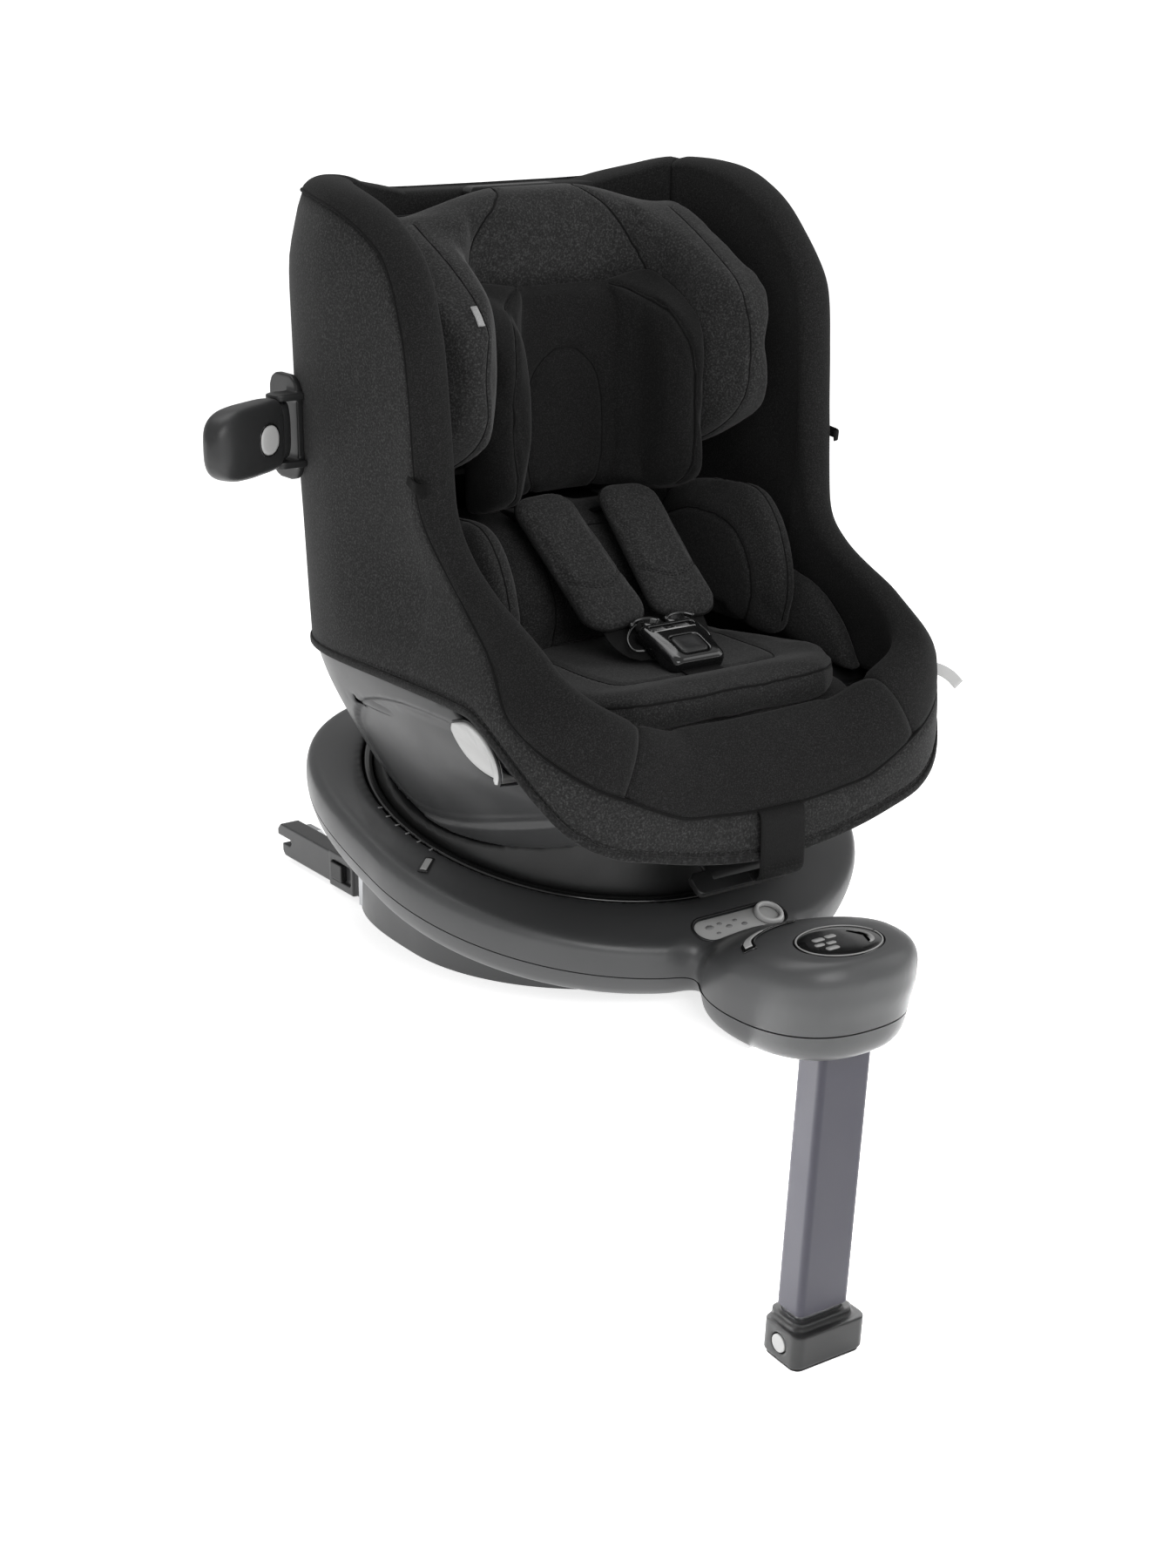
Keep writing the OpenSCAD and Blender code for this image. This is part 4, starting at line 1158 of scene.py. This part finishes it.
def build_headrest():
    """Melange U with sewn wing panels, and the black head insert with its piped arch."""
    pad = soft("headrest_cushion", ["headrest_pad"], 5.0, 3.0, 5.0, 9.0, 14)
    p = coords(pad)
    p[:, 2] -= 24 * smoothstep((np.abs(p[:, 0]) - 30) / 125) * smoothstep((p[:, 2] - 500) / 130)
    set_coords(pad, p)
    relax(pad, np.full(len(p), 0.8), 8)
    dress(pad, "melange", "headrest", "melange_fabric", "headrest_pad", fill=0.7)
    for s, side_name in ((RIGHT, "right"), (LEFT, "left")):
        centre = curve([(s * 22, 48, 650), (s * 50, 0, 632), (s * 76, -10, 602), (s * 92, -10, 564),
                        (s * 98, -10, 520), (s * 97, -10, 470), (s * 96, -8, 410)], 60)
        sewn(pad, cast(pad, centre * [1, 0, 1] + [0, 300, 0], (0, 1, 0), 600), "headrest",
             f"head_seam_{side_name}", 2.4, 3.0, 0.9)
        edge = curve([(s * 132, 20, 620), (s * 132, -30, 594), (s * 132, -72, 560), (s * 132, -98, 515),
                      (s * 132, -92, 470), (s * 132, -62, 432), (s * 132, -20, 408)], 60)
        sewn(pad, edge, "headrest", f"wing_edge_{side_name}", 1.4, 2.4, 0.7)
    insert = soft("head_insert_cushion", ["head_insert"], 4.5, 2.5, 5.0, 8.0, 12)
    dress(insert, "head_cloth", "headrest", "black_fabric", "head_insert", fill=0.75)
    arch = curve([(-88, 0, 388), (-92, 0, 440), (-90, 0, 500), (-74, 0, 545), (-40, 0, 563), (0, 0, 567),
                  (40, 0, 563), (74, 0, 545), (90, 0, 500), (92, 0, 440), (88, 0, 388)], 120)
    sewn(insert, cast(insert, arch + [0, 300, 0], (0, 1, 0), 600), "headrest", "insert_piping", 2.6, 3.0, 1.3)
    panel = curve([(-30, 0, 376), (-38, 0, 410), (-39, 0, 450), (-33, 0, 485), (-14, 0, 505), (0, 0, 508),
                   (14, 0, 505), (33, 0, 485), (39, 0, 450), (38, 0, 410), (30, 0, 376)], 100)
    sewn(insert, cast(insert, panel + [0, 300, 0], (0, 1, 0), 600), "headrest", "insert_panel_seam", 2.6, 3.2,
         0.8)
    tag = cast(pad, [(-137, -400, z) for z in (560, 553, 546)], (0, 1, 0), 200) - [0, 0.8, 0]
    dress(sweep("headrest_tag", tag, round_section(3.2, 0.7, 12, 4), (0, -1, 0)), "label", "headrest",
          "melange_fabric")


EAR = [(40, 262), (52, 320), (30, 366), (-14, 384), (-60, 389), (-100, 386), (-128, 358), (-143, 316),
       (-140, 282), (-118, 258)]
HIP = [(30, 262), (20, 300), (-60, 318), (-112, 312), (-150, 300), (-182, 274), (-197, 250), (-190, 239)]


def pillow(name, outline, place, half, voxel=4.5, pressure=5.0, cap=8.0, crown=0.72):
    """A stuffed piece over an outline: thin at its edge seam and full in the middle, then blown up."""
    outline = curve(outline, 96, True)[:-1]
    middle = outline.mean(0)
    levels = [(-1.0, 0.55), (-0.9, 0.78), (-0.55, 0.95), (0, 1.0), (0.55, 0.95), (0.9, 0.78), (1.0, 0.55)]
    rings = [place(middle + (outline - middle) * (crown + (1 - crown) * scale), depth * half)
             for depth, scale in levels]
    obj = remesh(loft(name, rings), voxel, 5)
    inflate(obj, pressure, cap)
    relax(obj, np.ones(len(obj.data.vertices)), 2)
    return subdivide(obj)


def build_insert():
    """Seat pad, boxed cushion with its front roll, back pad and the two pairs of side bolsters."""
    base = soft("lower_tier", ["seat_base_pad"], 5.0, 2.0, 4.0, 6.0, 10)
    dress(base, "insert_cloth", "bucket", "black_fabric", "seat_base_pad", fill=0.5)
    cushion = soft("seat_cushion_pad", ["seat_cushion"], 4.5, 2.0, 5.0, 7.0, 4)
    p = coords(cushion)
    ring_out = np.maximum((-198 - p[:, 1]) / 44, (np.abs(p[:, 0]) - 76) / 40)
    rise = smoothstep(ring_out) * smoothstep((p[:, 2] - 246) / 12)
    p[:, 2] += 5.0 * rise
    p[:, 0] *= 1 + 0.31 * smoothstep((-110 - p[:, 1]) / 80)
    p[:, 1] += 9 * smoothstep((np.abs(p[:, 0]) - 95) / 60) * smoothstep((-150 - p[:, 1]) / 50)
    set_coords(cushion, p)
    relax(cushion, np.full(len(p), 0.9), 10)
    dress(cushion, "insert_cloth", "bucket", "black_fabric", "seat_cushion", fill=0.6)
    edge = curve([(-112, 0, 262), (-122, -120, 264), (-157, -205, 265), (-153, -232, 263), (-118, -243, 262),
                  (-60, -252, 262), (0, -254, 262), (60, -252, 262), (118, -243, 262), (153, -232, 263),
                  (157, -205, 265), (122, -120, 264), (112, 0, 262)], 220)
    sewn(cushion, edge, "bucket", "cushion_piping", 1.4, 2.6, 1.1)
    inner = curve([(-84, -20, 264), (-88, -120, 264), (-84, -192, 264), (-60, -205, 264), (0, -208, 264),
                   (60, -205, 264), (84, -192, 264), (88, -120, 264), (84, -20, 264)], 160)
    sewn(cushion, inner, "bucket", "cushion_panel_seam", 1.8, 3.0, 0.6)
    back = soft("back_pad", ["back_insert"], 5.0, 2.5, 4.5, 7.0, 10)
    dress(back, "insert_cloth", "bucket", "black_fabric", "back_insert", fill=0.6)
    sewn(back, cast(back, curve([(-60, 0, 268), (-58, 0, 320), (-50, 0, 352), (0, 0, 358), (50, 0, 352),
                                 (58, 0, 320), (60, 0, 268)], 80) + [0, 300, 0], (0, 1, 0), 700),
         "bucket", "back_pad_seam", 1.8, 3.0, 0.6)
    for s, side_name in ((RIGHT, "right"), (LEFT, "left")):
        ear = pillow(f"bolster_{side_name}_ear", EAR,
                     lambda q, x: np.c_[np.full(len(q), s * 143) + s * x, q], 13)
        dress(ear, "insert_cloth", "bucket", "black_fabric", f"bolster_{side_name}", fill=0.8)
        arch = curve([(s * 128, 20, 345), (s * 128, -30, 358), (s * 128, -80, 352), (s * 128, -106, 322),
                      (s * 128, -108, 285), (s * 128, -84, 250)], 70)
        sewn(ear, arch, "bucket", f"bolster_seam_{side_name}", 2.2, 3.0, 0.7)
        rim = curve([(s * 144, 40, 352), (s * 144, -20, 387), (s * 144, -95, 389), (s * 144, -132, 356),
                     (s * 144, -146, 314), (s * 144, -136, 272)], 80)
        sewn(ear, rim, "bucket", f"bolster_edge_{side_name}", 1.2, 2.2, 0.8)
        hip = pillow(f"hip_bolster_{side_name}", HIP,
                     lambda q, x: np.c_[np.full(len(q), s * 171) + s * x, q], 10)
        dress(hip, "insert_cloth", "bucket", "black_fabric", fill=0.7)


PAD_MID, PAD_RISE = (40.0, -83.0, 341.0), 39.0


def on_pad(side, points):
    """Row-frame points for places in a shoulder pad's own frame."""
    return turned(turned(points, side * -4, "Z"), PAD_RISE) + [side * PAD_MID[0], PAD_MID[1], PAD_MID[2]]


def flat_strap(name, path, half, thick=0.8, up=(0, 0, 1)):
    line = resample(path, max(12, int(length_of(path) / 3)))
    return sweep(name, line, round_section(half, thick, 20, 5), up)


def build_harness():
    """Shoulder pads with curved stitching and bound edges, and the webbing."""
    for s, side_name in ((RIGHT, "right"), (LEFT, "left")):
        rows = []
        outline = rounded(60, 148, 20, 8)
        shape = outline * np.c_[1 + 0.10 * smoothstep((-outline[:, 1] - 5) / 65), np.ones(len(outline))]
        for h, scale in ((-6.2, 0.90), (-5.0, 0.965), (-2.2, 1.0), (0.8, 1.0), (3.6, 0.985), (5.6, 0.93),
                         (6.4, 0.82), (6.9, 0.55), (7.1, 0.25)):
            rows.append(on_pad(s, np.c_[shape * scale, np.full(len(shape), h)]))
        pad = remesh(loft(f"shoulder_pad_{side_name}_cover", rows), 3.2, 2)
        inflate(pad, 3.0, 2.2, 14)
        subdivide(pad)
        dress(pad, "melange", "bucket", "melange_fabric", f"shoulder_pad_{side_name}", fill=0.6)
        across = np.array([(-29, -22, 9), (-17, -31, 9), (0, -36, 9), (17, -31, 9), (29, -22, 9)])
        up = on_pad(s, [(0, 0, 1)])[0] - on_pad(s, [(0, 0, 0)])[0]
        for k, shift in enumerate((0, 3.0)):
            line = cast(pad, on_pad(s, curve(across + [0, shift, 20], 40)), -up, 100)
            line = nearest_on(pad, groove(pad, line, 0.8, 2.0)) + up * 0.3
            dress(stitches(f"pad_stitch_{side_name}_{k}", line, 2.6, 1.5, 0.42, up), "thread", "bucket",
                  "melange_fabric")
        edge = on_pad(s, np.c_[shape, np.full(len(shape), -0.5)])
        edge = nearest_on(pad, np.vstack([edge, edge[:2]]))
        dress(tube(f"pad_binding_{side_name}", resample(edge, 150), 1.3, 8, up), "piping", "bucket",
              "black_fabric")
        low = on_pad(s, [(0, -52, -2.5), (0, -70, -3.2), (0, -80, -5)])
        end = np.array([s * 19, -160, 289.5])
        mid = (low[-1] * 0.5 + end * 0.5) + [s * 2, -3, -7]
        strap = curve(np.vstack([low, mid, end]), 40)
        dress(flat_strap(f"harness_strap_{side_name}", strap, 17, 0.8, up), "webbing", "bucket", "webbing")
        over = [(s * 40, -18, 366), (s * 40, 10, 369.5), (s * 40, 78, 369.5)]
        top = curve(np.vstack([on_pad(s, [(0, 60, -1), (0, 72, 0)]), over]), 50)
        dress(flat_strap(f"harness_top_{side_name}", top, 19, 0.8), "webbing", "bucket", "webbing",
              *(["harness_webbing"] if s == RIGHT else []))
        loop = curve([(s * 4, -157, 291), (s * 12, -150, 297), (s * 27, -146, 296), (s * 38, -152, 288),
                      (s * 40, -163, 281), (s * 31, -168, 280)], 40)
        dress(tube(f"strap_loop_{side_name}", loop, 1.3), "gloss", "bucket", "gloss_black")
    dress(flat_strap("crotch_webbing", curve([(0, -224, 258), (0, -220, 264.5), (0, -206, 267.5),
                                              (0, -196, 268.5)], 24), 19, 0.9, (0, -0.2, 1)),
          "webbing", "bucket", "webbing", "crotch_strap")


BUCKLE_AT, BUCKLE_TILT = (0.0, -173.0, 273.6), 22.0


def in_buckle(points):
    return turned(points, BUCKLE_TILT) + list(BUCKLE_AT)


def build_buckle():
    """Glossy trapezoid buckle with a stepped top, the tongues' slot and a pale line."""
    def level(w_front, w_rear, y0, y1, h, r=7):
        flat = rounded(2, 2, 2 * r / 60, 7)
        y = y0 + (flat[:, 1] + 1) / 2 * (y1 - y0)
        width = w_front + (w_rear - w_front) * (flat[:, 1] + 1) / 2
        return in_buckle(np.c_[flat[:, 0] * width / 2, y, np.full(len(flat), h)])
    body = loft("buckle_body", [level(46, 52, -25, 25, 0.3), level(52, 58, -28, 28, 2.2),
                                level(54, 60, -28, 28, 6), level(54, 60, -28, 28, 11),
                                level(51, 58, -27, 27, 14.2), level(45, 54, -24, 25, 16.4),
                                level(30, 40, -14, 16, 17.4)])
    boolean(body, prism("button_well", rounded(30, 25, 6) + [0, -8], 14.2, 30, in_buckle))
    boolean(body, prism("tongue_slot", rounded(46, 7, 3) + [0, 18.5], 13.0, 30, in_buckle))
    remesh(body, 0.9, 3)
    dress(body, "gloss", "bucket", "gloss_black", "buckle")
    shape = rounded(27.5, 22.5, 5, 7)
    button = loft("buckle_press", [in_buckle(np.c_[shape * k + [0, -8], np.full(len(shape), h)])
                                   for h, k in ((13.8, 1), (16.6, 1), (17.5, 0.96), (17.9, 0.85), (17.5, 0.5),
                                                (17.3, 0.2))])
    dress(button, "black", "buckle_button", "black_plastic", "buckle_button")
    line = in_buckle([(-21, 13.6, 16.9), (0, 13.9, 17.4), (21, 13.6, 16.9)])
    dress(sweep("buckle_line", resample(line, 16), round_section(0.9, 0.5, 8), (0, -0.3, 1)),
          "pale", "bucket", "light_plastic")
    tongues = []
    for s in (RIGHT, LEFT):
        tongues.append(prism(f"tongue_{s}", rounded(20, 17, 3) + [s * 12.5, 26], 12.2, 14.4, in_buckle))
        bar = curve([(s * 3, 32, 13.3), (s * 12, 36.5, 13.6), (s * 24, 36.5, 13.6), (s * 33, 31, 13.2)], 24)
        tongues.append(tube(f"tongue_bar_{s}", in_buckle(bar), 2.0))
    dress(joined("buckle_tongue_pair", tongues), "gloss", "bucket", "gloss_black", "buckle_tongues")


def build_adjuster_strap():
    """The adjuster's pull strap: out under the lip, over the cover's band and tucked below the hem."""
    path = curve([(0, -300, 176), (0, -308.5, 177.5), (0, -312.6, 173), (0, -313.4, 160), (0, -313.6, 145),
                  (0, -313.2, 132), (0, -312.2, 124), (0, -307.5, 118.5), (0, -301, 119), (0, -297, 123)], 90)
    dress(flat_strap("adjuster_webbing", path, 23, 0.9, (0, -1, 0.2)), "webbing", "bucket", "webbing",
          "adjuster_strap")
    for k, z in enumerate((127.0, 130.5)):
        line = np.array([(-20, -314.6, z), (20, -314.6, z)])
        dress(stitches(f"adjuster_stitch_{k}", line, 2.6, 1.4, 0.4, (0, -1, 0)),
              "thread", "bucket", "webbing")


def build_tabs():
    """Elastic tabs at the wings' edges and a plain care label at the armrest."""
    for s, side_name in ((RIGHT, "right"), (LEFT, "left")):
        at = lean(cover_point(plan_place([(225, -103)]), np.array([430.0]), np.array([-1.4]))[0]) * [s, 1, 1]
        path = at + np.array([(0, 12, 6), (0, 0, 0), (s * 1.5, -9, -2), (0, -14, -3), (s * -6, -16, -3)])
        dress(flat_strap(f"elastic_tab_{side_name}", curve(path, 24), 4.5, 0.8, (s, 0, 0)),
              "piping", "bucket", "black_fabric")
    label = curve([(203, -262, 250), (209, -265, 248), (216, -270, 243), (222, -275, 235)], 20)
    dress(flat_strap("care_label", label, 5, 0.35, (-0.5, -0.8, 0.3)), "light", "bucket", "melange_fabric")


# ---------------------------------------------------------------- hard parts that keep their CAD shape


def mould(name, nodes, voxel, material, body, slot, smooth=3):
    """A moulded part from its CAD solid, with all its edges softened as a mould leaves them."""
    obj = remesh(cad_copy(name, *nodes), voxel, smooth)
    return dress(obj, material, body, slot, *nodes)


def build_pods():
    """Side-impact pods: a rounded shell that swells from a narrow neck, with its oval button."""
    angles = {"right": (RIGHT, 30.0), "left": (LEFT, 86.0)}
    for name, (s, turn) in angles.items():
        def place(points):
            return turned(np.asarray(points, float) * [s, 1, 1], s * -turn, "Z") + [s * 243, 58, 452]

        stations = curve([(11.6, 9, 24), (12.4, 12, 27.5), (15, 13.6, 29), (26, 15.4, 29.8), (42, 16.6, 30),
                          (62, 17, 30), (80, 16.2, 28.6), (93, 13.4, 24), (100.5, 8.6, 16.5),
                          (103.8, 3.2, 7)], 48)
        outer = loft("pod_body", [place(np.c_[np.full(64, x), round_section(y, z, 64, 3.2)])
                                  for x, y, z in stations])
        neck = loft("pod_neck", [place(np.c_[np.full(64, x), round_section(y, 23.6, 64, 3.2)])
                                 for x, y in ((-8.5, 3), (-7.5, 6), (-4, 8.4), (2, 9), (14, 9))])
        body = joined(f"pod_{name}_shell", [outer, neck])
        dress(body, "pod", f"pod_{name}", "black_plastic", f"pod_{name}")

        def button_oval(rx, ry, y):
            flat = round_section(rx, ry, 48, 2.2)
            return place(np.c_[flat[:, 0] + 42, np.full(48, y), flat[:, 1]])
        oval_rows = [button_oval(13.5 * k, 12 * k, y)
                     for y, k in ((-14.5, 1), (-16.8, 1), (-17.5, 0.95), (-17.9, 0.8), (-18.0, 0.4))]
        dress(loft(f"pod_{name}_button_cap", oval_rows), "light", f"pod_button_{name}", "light_plastic",
              f"pod_button_{name}")
        frame_line = button_oval(14.3, 12.8, -16.7)
        dress(sweep(f"pod_{name}_button_frame", np.vstack([frame_line, frame_line[:2]]),
                    round_section(0.9, 0.7, 8), place([(0, -1, 0)])[0] - place([(0, 0, 0)])[0]), "gloss",
              f"pod_{name}", "black_plastic")


def build_hard_parts():
    for s in ("right", "left"):
        mould(f"anchor_arm_{s}", [f"isofix_arm_{s}"], 0.9, "arm", "isofix_carriage", "grey_plastic", 3)
        mould(f"anchor_release_{s}", [f"isofix_release_{s}"], 0.8, "black", f"release_{s}", "black_plastic")
    mould("pod_collar_pair", ["pod_collars"], 1.3, "black", "bucket", "black_plastic", 4)
    mould("support_foot", ["leg_foot"], 1.1, "black", "leg_inner", "black_plastic", 5)
    press = mould("foot_release", ["foot_button"], 0.7, "pale", "foot_button", "light_plastic", 3)
    p = coords(press)
    set_coords(press, p.mean(0) + (p - p.mean(0)) * 0.9)
    grip = mould("recline_grip", ["recline_handle"], 0.9, "dome", "recline_handle", "black_plastic", 4)
    p = coords(grip)
    p[:, 0] *= 0.86
    p[:, 1:] = p[:, 1:] * 0.82 + np.array([-262, 96]) * 0.18 + [6, 5]
    set_coords(grip, p)
    start = p.mean(0)
    bowl = search_tree(bpy.data.objects["seat_bowl_piece"])
    reach = np.array([0, 0.80, 0.60])
    hit = bowl.ray_cast(Vector(start * MM), Vector(reach))[0]
    end = (np.array(list(hit)) / MM if hit else start + reach * 60) + reach * 16
    stem = sweep("recline_stem", resample(np.array([start, end]), 12), round_section(30, 4.5, 40, 4),
                 (0, -0.60, 0.80))
    dress(stem, "black", "recline_handle", "black_plastic")
    mould("headrest_grip", ["headrest_lever"], 0.8, "black", "headrest_lever", "black_plastic", 4)
    mould("strap_adjuster", ["harness_adjuster"], 0.9, "steel", "bucket", "steel", 2)
    mould("strap_adjuster_press", ["adjuster_button"], 0.9, "black", "adjuster_button", "black_plastic", 3)


KEPT = {
    "leg": ["leg_outer_tube"],
    "steel": ["bearing_ring", "leg_bracket", "leg_hinge_pin", "isofix_guide_rails", "base_screws",
              "leg_inner_tube", "isofix_crossbar", "isofix_hook_right", "isofix_hook_left",
              "turntable_spindle"],
    "black": ["leg_knuckle", "headrest_frame"],
    "rubber": ["foot_sole"],
}


def finish_kept_nodes():
    """CAD nodes that still show keep their mesh and get a real material and a small edge bevel."""
    for material, names in KEPT.items():
        for name in names:
            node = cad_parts[name]
            node.data.materials.clear()
            node.data.materials.append(MATERIALS[material])
            bevel_node = node.modifiers.new("Bevel", "BEVEL")
            bevel_node.width, bevel_node.segments = 0.5 * MM, 2
            bevel_node.limit_method, bevel_node.angle_limit = "ANGLE", math.radians(40)
            for face in node.data.polygons:
                face.use_smooth = True
            smooth = node.modifiers.new("Weighted", "WEIGHTED_NORMAL")
            smooth.keep_sharp = True


# ---------------------------------------------------------------- stage, light and camera


def stage_plane(name, size, centre, tone):
    mesh = bpy.data.meshes.new(name)
    x, y = size[0] / 2, size[1] / 2
    mesh.from_pydata([(-x, -y, 0), (x, -y, 0), (x, y, 0), (-x, y, 0)], [], [(0, 1, 2, 3)])
    obj = bpy.data.objects.new(name, mesh)
    obj.location = centre
    bpy.context.scene.collection.objects.link(obj)
    material = bpy.data.materials.new(name)
    material.use_nodes = True
    shader = material.node_tree.nodes["Principled BSDF"]
    shader.inputs["Base Color"].default_value = grey(tone)
    shader.inputs["Roughness"].default_value = 0.9
    shader.inputs["Emission Color"].default_value = grey(1.0)
    shader.inputs["Emission Strength"].default_value = 0.72
    mesh.materials.append(material)
    return obj


def area_light(name, place, aim, size, watts):
    light = bpy.data.lights.new(name, "AREA")
    light.shape, light.size, light.size_y, light.energy = "RECTANGLE", size[0], size[1], watts
    obj = bpy.data.objects.new(name, light)
    obj.location = place
    obj.rotation_euler = (Vector(aim) - Vector(place)).to_track_quat("-Z", "Y").to_euler()
    bpy.context.scene.collection.objects.link(obj)


def build_stage():
    stage_plane("floor", (14, 14), (0, 0, -0.2875), 0.95)
    table = stage_plane("table", (9.0, 5.355), (0, 2.3225, -0.0006), 0.95)
    table.visible_shadow = False
    world = bpy.data.worlds.new("studio")
    world.use_nodes = True
    tree = world.node_tree
    background = tree.nodes["Background"]
    path = tree.nodes.new("ShaderNodeLightPath")
    mix = tree.nodes.new("ShaderNodeMix")
    mix.data_type = "RGBA"
    mix.inputs[6].default_value = grey(0.46)
    mix.inputs[7].default_value = grey(1.3)
    tree.links.new(path.outputs["Is Camera Ray"], mix.inputs[0])
    tree.links.new(mix.outputs[2], background.inputs["Color"])
    background.inputs["Strength"].default_value = 1.0
    bpy.context.scene.world = world
    area_light("key", (-0.5, -2.5, 1.7), (0, 0, 0.3), (1.6, 1.6), 32)
    area_light("fill", (2.2, -1.4, 1.3), (0, 0, 0.3), (1.6, 1.8), 12)
    area_light("top", (0.2, 0.6, 2.6), (0, -0.1, 0.2), (2.2, 1.6), 22)


def build_camera():
    data = bpy.data.cameras.new("camera")
    data.lens, data.sensor_width = 58.0, 36.0
    obj = bpy.data.objects.new("camera", data)
    obj.location = (-1.2274, -1.7935, 0.8203)
    aim = Vector((0, -0.0406, 0.125))
    obj.rotation_euler = (aim - obj.location).to_track_quat("-Z", "Y").to_euler()
    bpy.context.scene.collection.objects.link(obj)
    bpy.context.scene.camera = obj
    bpy.context.scene.view_settings.view_transform = "Standard"


build_base()
build_base_details()
build_turntable()
build_bowl()
build_cover()
build_rim()
build_headrest()
build_insert()
build_harness()
build_buckle()
build_adjuster_strap()
build_tabs()
build_pods()
build_hard_parts()
finish_kept_nodes()
build_stage()
build_camera()
